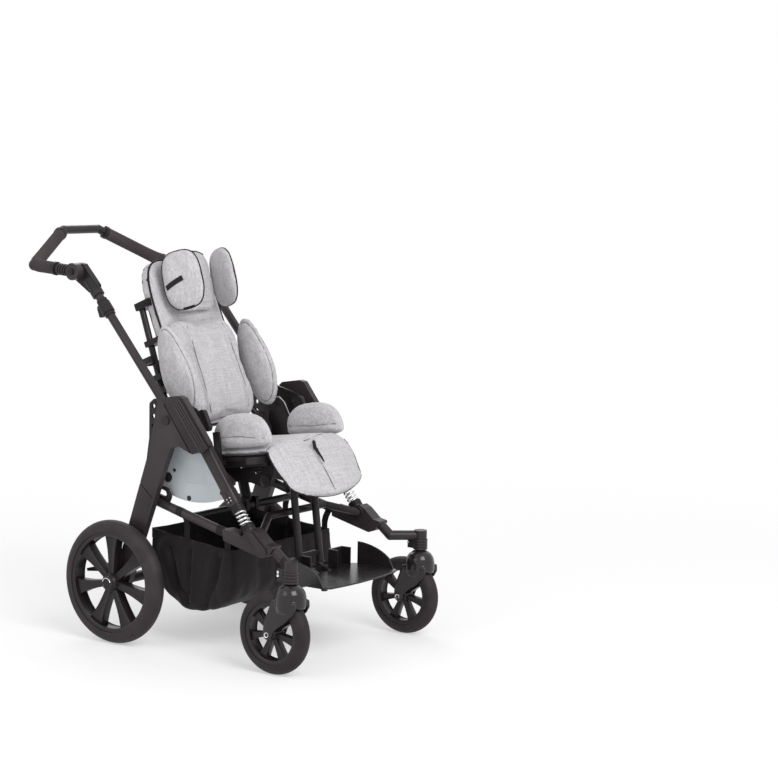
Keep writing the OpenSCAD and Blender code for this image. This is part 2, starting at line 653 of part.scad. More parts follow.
module fold_trigger_left() color(black) {
    low = push_top - (48 + trigger_len) * push_dir;
    high = push_top - 48 * push_dir;
    difference() {
        union() {
            rod(at(tube_x, low), at(tube_x, high), trigger_d - 4);
            rod(at(tube_x, low + 8 * push_dir), at(tube_x, high - 10 * push_dir), trigger_d);
            slab(tube_x - 6, tube_x + 6) polygon(rounded([low + [4, 0], high + [10, -12], low + [38, 10],
                low + [30, -10], low + [20, -2]], 4));
        }
        rod(at(tube_x, low - 5 * push_dir), at(tube_x, high + 5 * push_dir), push_tube_d + 2 * run_fit);
    }
}
module fold_trigger_right() flip() fold_trigger_left();

// Handle: bare bar with angle-joint discs, foam grips and release buttons
disc_in = 0.6;
module handle_bar() color(anthracite) {
    ends = [at(handle_x, joint + 24 * bar_step), at(handle_x, corner), at(peak_x, peak)];
    both() for (i = [0:1]) rod(ends[i], ends[i + 1], handle_bar_d);
    both() translate(ends[1]) sphere(d = grip_d - 1);
    both() translate(ends[2]) sphere(d = handle_bar_d + 0.6);
    rod(ends[2], at(-peak_x, peak), handle_bar_d);
    both() difference() {
        union() {
            cross_pin(joint, tube_x + 5 + disc_in, handle_x + 11, joint_d);
            rod(at(handle_x, joint), at(handle_x, joint + 30 * bar_step), handle_bar_d - 1);
            rod(at(handle_x, joint + 24 * bar_step), at(handle_x, joint + 58 * bar_step), handle_bar_d + 3);
            for (k = [30, 38, 46])
                rod(at(handle_x, joint + k * bar_step), at(handle_x, joint + (k + 4) * bar_step),
                    handle_bar_d + 7);
        }
        cross_pin(joint, tube_x, tube_x + 16.4, 10 + 2 * run_fit);
        cross_pin(joint, tube_x + 19, handle_x + 20, 15 + 2 * run_fit);
    }
}
module handle_button_left() color(black) {
    cross_pin(joint, tube_x + 22.4, handle_x + 14, 15);
    cross_pin(joint, handle_x + 13.5, handle_x + 15, 12);
}
module handle_button_right() flip() handle_button_left();
module foam_grips() color([0.3, 0.28, 0.29]) both() {
    a = at(handle_x, corner);
    b = at(peak_x, peak);
    c = at(handle_x, joint + 58.3 * bar_step);
    near_c = a + 12 * unit(c - a);
    near_b = a + 12 * unit(b - a);
    far_b = a + 0.9 * (b - a);
    difference() {
        union() {
            rod(c, near_c, grip_d);
            rod(near_b, far_b, grip_d);
            rod(far_b - 7 * unit(b - a), far_b, grip_d + 1.5);
        }
        rod(at(handle_x, joint), a, handle_bar_d + 2 * run_fit);
        rod(a, b, handle_bar_d + 2 * run_fit);
    }
}

// Seat unit: base, side plates with an arc for a lower edge, and bolts
function arc_point(r, a) = arc_mid + r * [cos(a), sin(a)];
bolt_points = [arc_point(plate_r - 8, -86.7), arc_point(plate_r - 15, -111.9)];
plate_bore = arc_point(plate_r - 36, -67.8);
module side_plate_left() color(plate_grey) difference() {
    slab(plate_in, plate_out) polygon(concat(
        [for (a = [-115:3.5:-69]) arc_point(plate_r, a)],
        rounded([arc_point(plate_r, -66), fold + [30, -80], fold + [20, 8], fold + [2, 22], fold + [-18, 6],
            fold + [-58, -64], arc_point(plate_r, -118)], 9)));
    cross_pin(fold, plate_in - 1, plate_out + 1, fold_pin_d + 2 * run_fit);
    cross_pin(plate_bore, plate_in - 1, plate_out + 1, plate_bore_d);
    for (b = bolt_points) cross_pin(b, plate_in - 1, plate_out + 1, 9);
    cross_pin(fold + [14, -126], plate_in - 1, plate_out + 1, 6);
    slab(plate_out - 1, plate_out + 1) polygon(rounded([arc_point(plate_r - 76, -102),
        arc_point(plate_r - 76, -82), arc_point(plate_r - 42, -82), arc_point(plate_r - 42, -102)], 6));
}
module side_plate_right() flip() side_plate_left();
module plate_bolts() color(silver) both() for (b = bolt_points) {
    cross_pin(b, plate_in - 3.8, plate_out + 0.5, 9 - 2 * run_fit);
    cross_pin(b, plate_out + 0.1, plate_out + 1.2, 12);
}
module seat_base() color(black) {
    rail_out = plate_in - layer_gap;
    pan_z = -seat_t - 9.2;
    pan_front = seat_len - 36;
    both() {
        difference() {
            slab(rail_out - 9, rail_out) polygon(concat(
                [for (a = [-120:8:-72]) arc_point(plate_r - 4, a)],
                rounded([arc_point(plate_r - 30, -66), fold + [24, -82], fold + [18, 8], fold + [0, 19],
                    fold + [-18, 8], fold + [-60, -66], arc_point(plate_r - 8, -124)], 8)));
            cross_pin(fold, rail_out - 10, rail_out + 1, fold_pin_d + 2 * run_fit);
            for (b = bolt_points) cross_pin(b, rail_out - 3, rail_out + 1, 9 + 2 * run_fit);
            cross_pin(plate_bore, rail_out - 10, rail_out + 1, plate_bore_d);
            cross_pin(fold + [14, -126], rail_out - 10, rail_out + 1, 6);
        }
        cross_pin(recline, 148, rail_out - 4, 14);
        on_seat() translate([138, -pan_front, pan_z - 6]) cube([rail_out - 143, 30, 14]);
        on_seat() translate([138, -60, pan_z - 6]) cube([rail_out - 143, 34, 14]);
    }
    on_seat() {
        translate([-150, -pan_front, pan_z]) cube([300, pan_front - 12, 9]);
        for (y = [-pan_front, -126, -44]) translate([-146, y, pan_z - 13]) cube([292, 18, 16]);
        both() translate([132, -pan_front, pan_z - 15]) cube([14, pan_front - 12, 18]);
        both() translate([hip_mid.x + hip_t * 0.38 + 2, hip_mid.y + 53, pan_z - 6]) cube([6, 18, -pan_z + 44]);
        both() translate([140, hip_mid.y + 53, pan_z - 6]) cube([hip_mid.x + hip_t * 0.38 - 132, 18, 10]);
        both() translate([hip_mid.x + hip_t * 0.38 - 1.4, hip_mid.y + 62, 30]) rotate([0, 90, 0])
            cylinder(h = 5, d = 12);
    }
    // Clamp that the hanger tubes slide in
    on_hanger() difference() {
        translate([-hanger_x - 17, -16, -8]) cube([2 * hanger_x + 34, 32, 66]);
        for (s = [-1, 1]) translate([s * hanger_x, 0, -60]) cylinder(h = 122, d = hanger_d + 2 * run_fit);
        translate([-hanger_x + 15, -30, -10]) cube([2 * hanger_x - 30, 60, 36]);
    }
    // Fork that takes the head of the tilt strut
    both() slab(strut_eye_w / 2 + layer_gap, 21) polygon(rounded([strut_head + [-24, 20],
        strut_head + [-14, -16], strut_head + [14, -16], strut_head + [4, 19]], 5));
}
module release_catch_left() color([0.35, 0.34, 0.35]) {
    x0 = bracket_in - 12.5;
    difference() {
        union() {
            slab(x0, bracket_in - 0.5) polygon(rounded([fold + [-44, 16], fold + [-68, 27], fold + [-76, 24],
                fold + [-94, -14], fold + [-90, -24], fold + [-74, -22]], 5));
            slab(x0 - 2, x0 + 1) polygon(rounded([fold + [-60, 14], fold + [-70, 19], fold + [-86, -12],
                fold + [-78, -16]], 3));
        }
        cross_pin(catch_pivot, x0 - 3, bracket_in, 6 + 2 * run_fit);
    }
}
module release_catch_right() flip() release_catch_left();

// Seat cushion: one padded strip over the seat and down in front as an apron
bend_r = 26;
apron_bend = 63;
function seat_path(t) =
    let (flat = seat_len - 34, bend = apron_bend + (seat_angle - 8), arc = PI * bend_r * bend / 180)
    let (along = t * (flat + arc + apron_len))
    let (f = [-cos(seat_angle), sin(seat_angle)], up = [sin(seat_angle), cos(seat_angle)])
    along < flat ? [seat_rear + along * f, up]
        : let (a = min(bend, (along - flat) / arc * bend), d = max(0, along - flat - arc))
          let (m = seat_rear + flat * f - bend_r * up, out = up * cos(a) + f * sin(a))
          let (go = f * cos(a) - up * sin(a))
          [m + bend_r * out + d * go, out];
function seat_half(t) = t < 0.6 ? seat_half_w - 3 * sin(180 * t / 0.6)
    : t < 0.88 ? seat_half_w + 10 * sin(230 * (t - 0.6) / 0.28)
    : (seat_half_w - 5.4) * sqrt(max(0.02, 1 - pow((t - 0.88) / 0.121, 2)));
function seat_ring(t) =
    let (s = seat_path(t), w = seat_half(t), thick = t < 0.5 ? seat_t : seat_t - 6)
    let (slit = t > 0.56 && t < 0.76 ? 9 : 3)
    concat([for (i = [0:14]) let (x = -w + 2 * w * i / 14, k = pow(abs(x / w), 4))
            let (seam = slit * exp(-pow(x / 5, 2)) + 2.5 * exp(-pow((t - 0.53) / 0.015, 2)))
            let (lift = 5 * (1 - k) - thick * 0.5 * k - seam)
            at(x, s[0] + s[1] * lift)],
        [for (i = [14:-1:0]) let (x = -w + 2 * w * i / 14, k = pow(abs(x / w), 4))
            at(x, s[0] - s[1] * thick * (1 - 0.35 * k))]);
seat_stations = [0.02, 0.03, 0.1, 0.25, 0.4, 0.49, 0.53, 0.57, 0.61, 0.65, 0.7, 0.75, 0.8, 0.86, 0.9, 0.94,
    0.97, 0.99, 1];
module seat_cushion() color(cloth_grey) loft([for (t = seat_stations) seat_ring(t)]);

// Hip pads: domed stuffed pads that stand on the sides of the seat
hip_mid = [seat_half_w - 10, -seat_len + 14 + hip_len / 2];
module hip_pad_left() color(cloth_grey) {
    outline = [for (i = [0:27]) let (a = 360 * i / 28, c = cos(a), s = sin(a))
        [hip_len / 2 * sign(c) * pow(abs(c), 0.8), (s > 0 ? hip_h - 14 : 14) * sign(s) * pow(abs(s), 0.8)]];
    on_seat() translate([hip_mid.x, hip_mid.y, 14 - 7 + soft_gap]) rotate([0, 0, -90])
        pad(outline, hip_t * 0.62, hip_t * 0.38, [[[-80, -6], [80, -6], 3]]);
}
module hip_pad_right() flip() hip_pad_left();

// Tilt strut
strut_dir = unit(strut_head - strut_foot);
strut_eye_w = 24;
module strut_cylinder() color(black) difference() {
    union() {
        rod(at(0, strut_foot + 12 * strut_dir), at(0, strut_foot + 84 * strut_dir), 26);
        rod(at(0, strut_foot + 70 * strut_dir), at(0, strut_foot + 86 * strut_dir), 31);
        cross_pin(strut_foot, -strut_eye_w / 2, strut_eye_w / 2, cross_tube_d + 9);
    }
    cross_pin(strut_foot, -14, 14, cross_tube_d + 2 * run_fit);
    rod(at(0, strut_foot + 30 * strut_dir), at(0, strut_foot + 90 * strut_dir), 12 + 2 * run_fit);
}
module strut_rod() color(silver) {
    rod(at(0, strut_foot + 32 * strut_dir), at(0, strut_head), 12);
    rod(at(0, strut_head - 8 * strut_dir), at(0, strut_head + 6 * strut_dir), 17);
}

// Back: stepped board on two tubes, cushion, side supports and recline handle
module back_frame() {
    color(cloth_grey) on_back() for (step = [[0, shell_t - 2, 1], [9, shell_t + 4, -2]])
        translate([0, step[1] + step[2], 14 + step[0]]) rotate([90, 0, 0]) linear_extrude(step[1])
            polygon(cushion_outline(back_half_w - 8 - step[0], shell_h - 14 - 2 * step[0], 36, 0.02, 4.5));
    color(black) both() {
        difference() {
            slab(146, 172) polygon(rounded([recline + [-16, -10], recline + [8, -16], recline + [18, 8],
                recline + [34, 60], recline + [12, 64], recline + [-10, 30]], 8));
            cross_pin(recline, 140, 180, 14 + 2 * run_fit);
        }
        on_back() {
            bent_tube([[160, 14, 22], [132, 44, 120], [118, 40, 346]], 16, 16.5, 90);
            translate([84, 4, 334]) cube([46, 48, 18]);
            translate([100, 4, 120]) cube([39, 52, 14]);
            translate([100, 4, 240]) cube([36, 48, 14]);
            translate([118, lateral_rear + 0.1, 150]) cube([40, 54.1 - lateral_rear - 0.1, 14]);
            translate([124, 42, 206]) rotate([0, 90, 0]) cylinder(h = 27, d = 8);
        }
    }
}
module back_cushion() color(cloth_grey) on_back() translate([0, -8, 12])
    pad(cushion_outline(back_half_w, back_h, 44, 0.035), back_crown, 5.9,
        [[[-92, 30], [-86, 240], 7], [[92, 30], [86, 240], 7], [[-40, 262], [40, 262], 4]]);
lateral_rear = 14;
module lateral_pad_left() color(cloth_grey) {
    outline = [for (i = [0:31]) let (a = 360 * i / 32, c = cos(a), s = sin(a))
        [lateral_depth / 2 * c * (1 - 0.18 * max(0, s)), lateral_h / 2 * s - 16 * max(0, -c) * (1 - abs(s))]];
    on_back() translate([back_half_w + soft_gap + 0.62 * lateral_t, lateral_rear - lateral_depth / 2,
        34 + lateral_h / 2]) rotate([0, 0, -90]) mirror([1, 0, 0]) pad(outline, lateral_t * 0.6, lateral_t * 0.4);
}
module lateral_pad_right() flip() lateral_pad_left();
module recline_handle() color([0.4, 0.39, 0.4]) on_back() {
    translate([-144, 78, 206]) rotate([0, 90, 0]) cylinder(h = 288, d = 13);
    both() difference() {
        translate([140, 34, 198]) cube([10, 42, 16]);
        translate([130, 42, 206]) rotate([0, 90, 0]) cylinder(h = 30, d = 8 + 2 * run_fit);
    }
}

// Headrest: middle pad with a wing at each side
module headrest() color(cloth_grey) on_back() {
    translate([0, -18, back_h + 18]) rotate([7, 0, 0]) {
        pad(cushion_outline(head_half_w, head_h, 32, 0.02, 4.5), 24, 7, [[[-60, 8], [60, 8], 3]]);
        both() translate([head_half_w + 10, 2, head_h * 0.47]) rotate([0, 0, -108])
            translate([wing_depth / 2, 0, 0])
                pad([for (i = [0:23]) let (c = cos(15 * i), s = sin(15 * i))
                    [wing_depth / 2 * sign(c) * pow(abs(c), 0.7), 0.5 * (head_h - 6) * sign(s) * pow(abs(s), 0.7)]],
                    wing_t * 0.5, wing_t * 0.5);
    }
    translate([-45, -16, back_h + 50]) cube([90, 13.5, 80]);
}

// Footrest: two hangers with a tray-shaped footplate that flips up
module hanger_tubes() color(black) {
    on_hanger() {
        for (s = [-1, 1]) translate([s * hanger_x, 0, -hanger_len]) cylinder(h = hanger_len + 20, d = hanger_d);
        translate([-hanger_x, -7, -hanger_len + 31]) cube([2 * hanger_x, 14, 12]);
    }
    cross_pin(flip_pivot, -hanger_x - 20, hanger_x + 20, 14);
}
flip_pivot = hanger_top + (hanger_len - 6) * [-sin(hanger_angle), -cos(hanger_angle)];
module footplate() color(black) {
    front = flip_pivot + [-footplate_depth - 10, 0];
    floor_z = flip_pivot.y - 8;
    w = footplate_half_w;
    rear = flip_pivot.x - 12;
    difference() {
        union() {
            translate([0, 0, floor_z - footplate_t]) linear_extrude(footplate_t) polygon(concat(
                [[-w + 24, rear], [-w, rear - 26], [-w, front.x + 16]],
                [for (a = [-1:0.25:1]) [a * (w - 10), front.x - 12 * (1 - a * a)]],
                [[w, front.x + 16], [w, rear - 26], [w - 24, rear]]));
            both() slab(w - footplate_t, w) polygon(concat([[front.x + 14, floor_z - footplate_t]],
                [for (k = [0:0.125:1]) [front.x + 16 + k * (rear - 42 - front.x),
                    floor_z + footplate_wall_h * sqrt(max(0, 1 - pow(1 - k, 1.7)))]],
                [[rear - 26, floor_z - footplate_t]]));
            both() difference() {
                translate([52, rear - 30, floor_z - 1]) cube([56, 28, heel_cup_h]);
                translate([52 + footplate_t, rear - 40, floor_z + 4])
                    cube([56 - 2 * footplate_t, 38 - footplate_t, heel_cup_h]);
            }
            both() slab(19, 29) polygon(rounded([[rear - 34, floor_z - 1], flip_pivot + [-9, 9],
                flip_pivot + [9, 8], flip_pivot + [9, -9], [rear - 20, floor_z - footplate_t]], 5));
            both() translate([w - 40, front.x + 40, floor_z - footplate_t - 13])
                cylinder(h = 14, d1 = 15, d2 = 18);
        }
        cross_pin(flip_pivot, -60, 60, 14 + 2 * run_fit);
        both() translate([hanger_x - 6, flip_pivot.x - 14, floor_z - 20]) cube([12, 40, 60]);
    }
}

place() down_tube_left();
place() down_tube_right();
place() hub_bracket_left();
place() hub_bracket_right();
place() rear_cross_tube();
place() suspension_spring_left();
place() suspension_spring_right();
place() rear_leg_left();
place() rear_leg_right();
place() rear_axle();
place() brake_bar();
place() rear_tyre_left();
place() rear_tyre_right();
place() rear_rim_left();
place() rear_rim_right();
place() lower_tube_left();
place() lower_tube_right();
place() latch_sleeves();
place() front_lug_left();
place() front_lug_right();
place() front_tube_left();
place() front_tube_right();
place() cross_tubes();
place() basket();
place() caster_fork_left();
place() caster_fork_right();
place() caster_tyre_left();
place() caster_tyre_right();
place() caster_rim_left();
place() caster_rim_right();
place() swivel_lock_left();
place() swivel_lock_right();
place() push_tube_left();
place() push_tube_right();
place() joint_housings();
place() fold_trigger_left();
place() fold_trigger_right();
place() handle_bar();
place() foam_grips();
place() handle_button_left();
place() handle_button_right();
place() seat_base();
place() side_plate_left();
place() side_plate_right();
place() plate_bolts();
place() seat_cushion();
place() hip_pad_left();
place() hip_pad_right();
place() release_catch_left();
place() release_catch_right();
place() strut_cylinder();
place() strut_rod();
place() back_frame();
place() back_cushion();
place() lateral_pad_left();
place() lateral_pad_right();
place() recline_handle();
place() headrest();
place() hanger_tubes();
place() footplate();
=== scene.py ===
import json
import math
import bmesh
import bpy
import numpy as np
from mathutils import Matrix, Vector, noise

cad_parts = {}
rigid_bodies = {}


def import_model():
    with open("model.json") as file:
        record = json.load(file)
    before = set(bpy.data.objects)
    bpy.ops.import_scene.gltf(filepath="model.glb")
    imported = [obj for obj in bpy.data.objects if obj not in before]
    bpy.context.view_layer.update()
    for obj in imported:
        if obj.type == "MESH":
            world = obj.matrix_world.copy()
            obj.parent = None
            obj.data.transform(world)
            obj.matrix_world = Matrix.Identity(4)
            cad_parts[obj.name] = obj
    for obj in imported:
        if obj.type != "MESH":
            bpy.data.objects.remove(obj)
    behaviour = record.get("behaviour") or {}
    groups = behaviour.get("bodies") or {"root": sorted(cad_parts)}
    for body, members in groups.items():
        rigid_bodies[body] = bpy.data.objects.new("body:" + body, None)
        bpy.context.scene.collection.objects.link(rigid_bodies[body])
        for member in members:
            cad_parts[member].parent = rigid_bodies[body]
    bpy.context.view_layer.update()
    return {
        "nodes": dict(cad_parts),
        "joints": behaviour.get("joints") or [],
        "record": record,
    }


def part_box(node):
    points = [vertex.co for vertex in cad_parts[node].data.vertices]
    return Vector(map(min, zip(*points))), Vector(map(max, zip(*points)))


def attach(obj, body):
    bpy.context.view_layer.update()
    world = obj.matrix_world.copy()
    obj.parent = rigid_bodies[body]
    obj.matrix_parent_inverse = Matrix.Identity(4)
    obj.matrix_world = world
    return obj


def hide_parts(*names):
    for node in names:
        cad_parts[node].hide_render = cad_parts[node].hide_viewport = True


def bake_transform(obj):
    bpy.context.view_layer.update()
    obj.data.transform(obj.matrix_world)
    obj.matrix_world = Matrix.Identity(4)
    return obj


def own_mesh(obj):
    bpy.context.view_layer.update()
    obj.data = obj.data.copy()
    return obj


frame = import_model()
nodes = frame["nodes"]
scene = bpy.context.scene
bothSides = ((-1, "Right"), (1, "Left"))
print("frame loaded:", len(nodes), "nodes")


# places that several pieces share, in metres, in the buggy's own frame
def turned(angle, axis="X"):
    return Matrix.Rotation(math.radians(angle), 4, axis)


def inFrame(place, pts):
    return [place @ Vector(p) for p in pts]


def flipX(pts):
    return [Vector((-p.x, p.y, p.z)) for p in pts]


jointPos = {j["name"]: Vector(j["pos_m"]) for j in frame["joints"] if j.get("pos_m")}
backPlace = {"foot": (0, -0.015975, 0.505), "lean": 23}
seatPlace = {"rear": (0, -0.045975, 0.475), "angle": 8}
headPlace = {"at": (0, -0.018, 0.300), "nod": 7}
backFrame = Matrix.Translation(backPlace["foot"]) @ turned(-backPlace["lean"])
seatFrame = Matrix.Translation(seatPlace["rear"]) @ turned(-seatPlace["angle"])
headFrame = backFrame @ Matrix.Translation(headPlace["at"]) @ turned(headPlace["nod"])


# small helpers for working as by hand
def deselectAll():
    if bpy.context.object and bpy.context.object.mode != "OBJECT":
        bpy.ops.object.mode_set(mode="OBJECT")
    for o in scene.objects:
        o.select_set(False)


def pick(obj):
    deselectAll()
    bpy.context.view_layer.objects.active = obj
    obj.select_set(True)
    return obj


def newObject(name, data):
    obj = bpy.data.objects.new(name, data)
    scene.collection.objects.link(obj)
    return pick(obj)


def modify(obj, kind, **settings):
    m = obj.modifiers.new(kind.lower(), kind)
    for key, value in settings.items():
        setattr(m, key, value)
    pick(obj)
    bpy.ops.object.modifier_apply(modifier=m.name)
    return obj


def smooth(obj, angle):
    pick(obj)
    bpy.ops.object.shade_smooth_by_angle(angle=math.radians(angle))
    return obj


def softEdges(obj, width, segments=3, angle=35):
    return modify(obj, "BEVEL", width=width, segments=segments, limit_method="ANGLE",
                  angle_limit=math.radians(angle))


def giveMaterial(obj, mat):
    obj.data.materials.clear()
    obj.data.materials.append(mat)


def dress(obj, mat, body, angle=0):
    if angle:
        smooth(obj, angle)
    giveMaterial(obj, mat)
    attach(obj, body)
    return obj


def editAll(obj):
    pick(obj)
    bpy.ops.object.mode_set(mode="EDIT")
    bpy.ops.mesh.select_all(action="SELECT")


def weld(obj, gap):
    editAll(obj)
    bpy.ops.mesh.remove_doubles(threshold=gap)
    bpy.ops.mesh.normals_make_consistent(inside=False)
    bpy.ops.object.mode_set(mode="OBJECT")


# the right-hand twin of a left-hand piece
def mirrored(obj):
    twin = newObject(obj.name.replace("Left", "Right"), obj.data.copy())
    twin.data.transform(Matrix.Scale(-1, 4, (1, 0, 0)))
    editAll(twin)
    bpy.ops.mesh.flip_normals()
    bpy.ops.object.mode_set(mode="OBJECT")
    return twin


def joined(objs, name):
    deselectAll()
    for o in objs:
        o.select_set(True)
    bpy.context.view_layer.objects.active = objs[0]
    bpy.ops.object.join()
    objs[0].name = objs[0].data.name = name
    return objs[0]


# selects the faces or edges that pass a test, in edit mode
def choose(obj, kind, test):
    bpy.ops.mesh.select_all(action="DESELECT")
    bm = bmesh.from_edit_mesh(obj.data)
    for item in getattr(bm, kind):
        item.select_set(test(item))
    bmesh.update_edit_mesh(obj.data)


# faces between rows of points, which close round where the rows are rings
def bridgeRows(bm, rows, ring):
    for a, b in zip(rows[:-1], rows[1:]):
        for i in range(len(a) if ring else len(a) - 1):
            j = (i + 1) % len(a)
            bm.faces.new((a[i], a[j], b[j], b[i]))


def capEnds(bm, rows):
    bm.faces.new(rows[0])
    bm.faces.new(rows[-1][::-1])


def meshFrom(bm, name):
    bmesh.ops.recalc_face_normals(bm, faces=bm.faces)
    mesh = bpy.data.meshes.new(name)
    bm.to_mesh(mesh)
    bm.free()
    return mesh


# a round tube along a smooth path
def tubeAlong(name, points, radius, closed=False, sides=3):
    curve = bpy.data.curves.new(name, "CURVE")
    curve.dimensions = "3D"
    curve.bevel_depth = radius
    curve.bevel_resolution = sides
    curve.resolution_u = 6
    curve.use_fill_caps = not closed
    spline = curve.splines.new("NURBS")
    spline.points.add(len(points) - 1)
    for p, co in zip(spline.points, points):
        p.co = (*co, 1)
    spline.order_u = 4
    spline.use_endpoint_u = not closed
    spline.use_cyclic_u = closed
    newObject(name, curve)
    bpy.ops.object.convert(target="MESH")
    obj = bpy.context.object
    weld(obj, 0.00001)
    return smooth(obj, 50)


# a turned piece: a cylinder shaped by an inset and a bevel, along the axis given
def turnedKnob(name, place, axis, radius, height, edge, dish=0.0, dishDepth=0.0, sides=40):
    deselectAll()
    bpy.ops.mesh.primitive_cylinder_add(vertices=sides, radius=radius, depth=height)
    obj = bpy.context.object
    obj.name = name
    bpy.ops.object.mode_set(mode="EDIT")
    choose(obj, "faces", lambda f: f.normal.z > 0.9)
    if dish:
        bpy.ops.mesh.inset(thickness=radius * (1 - dish))
        bpy.ops.transform.translate(value=(0, 0, -dishDepth))
    choose(obj, "edges", lambda e: all(abs(math.hypot(*v.co.xy) - radius) < 1e-6 and v.co.z > 0 for v in e.verts))
    bpy.ops.mesh.bevel(offset=edge, segments=3, affect="EDGES")
    bpy.ops.object.mode_set(mode="OBJECT")
    turn = Vector((0, 0, 1)).rotation_difference(Vector(axis))
    obj.data.transform(Matrix.Translation(place) @ turn.to_matrix().to_4x4())
    return smooth(obj, 35)


# closed turned shape from a profile of (radius, height) points
def lathe(name, profile, place, steps, axis=(1, 0, 0)):
    bm = bmesh.new()
    turn = Vector((0, 0, 1)).rotation_difference(Vector(axis)).to_matrix()
    rings = []
    for i in range(steps):
        c, s = math.cos(2 * math.pi * i / steps), math.sin(2 * math.pi * i / steps)
        rings.append([bm.verts.new(place + turn @ Vector((r * c, r * s, h))) for r, h in profile])
    for p, q in zip(rings, rings[1:] + rings[:1]):
        for k in range(len(profile)):
            j = (k + 1) % len(profile)
            if profile[k][0] or profile[j][0]:  # nothing spans the axis itself
                bm.faces.new((p[k], q[k], q[j], p[j]))
    bmesh.ops.remove_doubles(bm, verts=bm.verts, dist=0.00001)
    return newObject(name, meshFrom(bm, name))


# slab of a side outline of (y, z) points between two places across
def slabPiece(name, outline, xs):
    bm = bmesh.new()
    low, high = ([bm.verts.new((x, y, z)) for y, z in outline] for x in sorted(xs))
    bridgeRows(bm, [low, high], True)
    capEnds(bm, [low[::-1], high[::-1]])
    return newObject(name, meshFrom(bm, name))


# sinks the middle of the faces that look along X
def sinkFaces(obj, facing, border, sink):
    pick(obj)
    bpy.ops.object.mode_set(mode="EDIT")
    choose(obj, "faces", lambda f: f.normal.x * facing > 0.9)
    bpy.ops.mesh.inset(thickness=border)
    bpy.ops.transform.translate(value=(-facing * sink, 0, 0))
    bpy.ops.object.mode_set(mode="OBJECT")


# materials: a value stays on its socket, and the output of another node is linked to it
def setSockets(tree, node, sockets):
    for key, value in sockets.items():
        if isinstance(value, bpy.types.NodeSocket):
            tree.links.new(value, node.inputs[key])
        else:
            node.inputs[key].default_value = value


def addNode(tree, kind, sockets, **settings):
    node = tree.nodes.new("ShaderNode" + kind)
    for key, value in settings.items():
        setattr(node, key, value)
    setSockets(tree, node, sockets)
    return node


def newFinish(name):
    mat = bpy.data.materials.new(name)
    mat.use_nodes = True
    tree = mat.node_tree
    return mat, tree, tree.nodes["Principled BSDF"], addNode(tree, "TexCoord", {}).outputs["Object"]


def mappedNoise(tree, coords, scale, stretch=(1, 1, 1), detail=2.0, roughness=0.5):
    mapping = addNode(tree, "Mapping", {"Scale": stretch, "Vector": coords})
    return addNode(tree, "TexNoise", {"Scale": scale, "Detail": detail, "Roughness": roughness,
                                      "Vector": mapping.outputs["Vector"]}).outputs["Fac"]


def rampOf(tree, factor, stops):
    ramp = addNode(tree, "ValToRGB", {"Fac": factor})
    elements = ramp.color_ramp.elements
    for i, (at, colour) in enumerate(stops):
        element = elements[i] if i < 2 else elements.new(at)
        element.position = at
        element.color = (*colour, 1)
    return ramp.outputs["Color"]


def rangeOf(tree, factor, low, high):
    return addNode(tree, "MapRange", {"To Min": low, "To Max": high, "Value": factor}).outputs["Result"]


def mathOf(tree, operation, a, b=0.0):
    return addNode(tree, "Math", {0: a, 1: b}, operation=operation).outputs["Value"]


def sumOf(tree, a, shareA, b, shareB):
    return mathOf(tree, "ADD", mathOf(tree, "MULTIPLY", a, shareA), mathOf(tree, "MULTIPLY", b, shareB))


def mixColours(tree, mode, factor, a, b):
    return addNode(tree, "Mix", {0: factor, 6: a, 7: b}, data_type="RGBA", blend_type=mode).outputs[2]


def bumpOf(tree, height, strength, distance):
    return addNode(tree, "Bump", {"Strength": strength, "Distance": distance, "Height": height}).outputs["Normal"]


# hard surfaces: a colour that drifts a little, fine grain in the gloss, and lighter sharp edges, a painted highlight
# along the edges
def hardFinish(name, dark, light, rough, grain, grainDepth, specular=0.5, coat=0.0, edgeHighlight=0.25):
    mat, tree, shader, coords = newFinish(name)
    drift = mappedNoise(tree, coords, 9, detail=3)
    speck = mappedNoise(tree, coords, grain)
    base = rampOf(tree, drift, [(0.3, dark), (0.72, light)])
    # painted highlight: edges picked out by their pointiness are mixed towards a lighter colour
    pointed = rangeOf(tree, addNode(tree, "NewGeometry", {}).outputs["Pointiness"], 0.0, 1.0)
    edges = rampOf(tree, pointed, [(0.52, (0, 0, 0)), (0.62, (edgeHighlight, edgeHighlight, edgeHighlight))])
    edgeHighlightColour = (*(min(1.0, c * 2.2 + 0.02) for c in light), 1)
    setSockets(tree, shader, {
        "Base Color": mixColours(tree, "MIX", edges, base, edgeHighlightColour), "Roughness": rangeOf(tree, speck, *rough),
        "Specular IOR Level": specular, "Coat Weight": coat, "Coat Roughness": 0.15,
        "Normal": bumpOf(tree, speck, 0.35, grainDepth)})
    return mat


def brushedFinish(name, dark, light, rough):
    mat, tree, shader, coords = newFinish(name)
    lines = mappedNoise(tree, coords, 700, (0.06, 1, 1), detail=3)
    setSockets(tree, shader, {
        "Base Color": rampOf(tree, lines, [(0.3, dark), (0.7, light)]), "Roughness": rangeOf(tree, lines, *rough),
        "Metallic": 1.0, "Normal": bumpOf(tree, lines, 0.2, 0.00005)})
    return mat


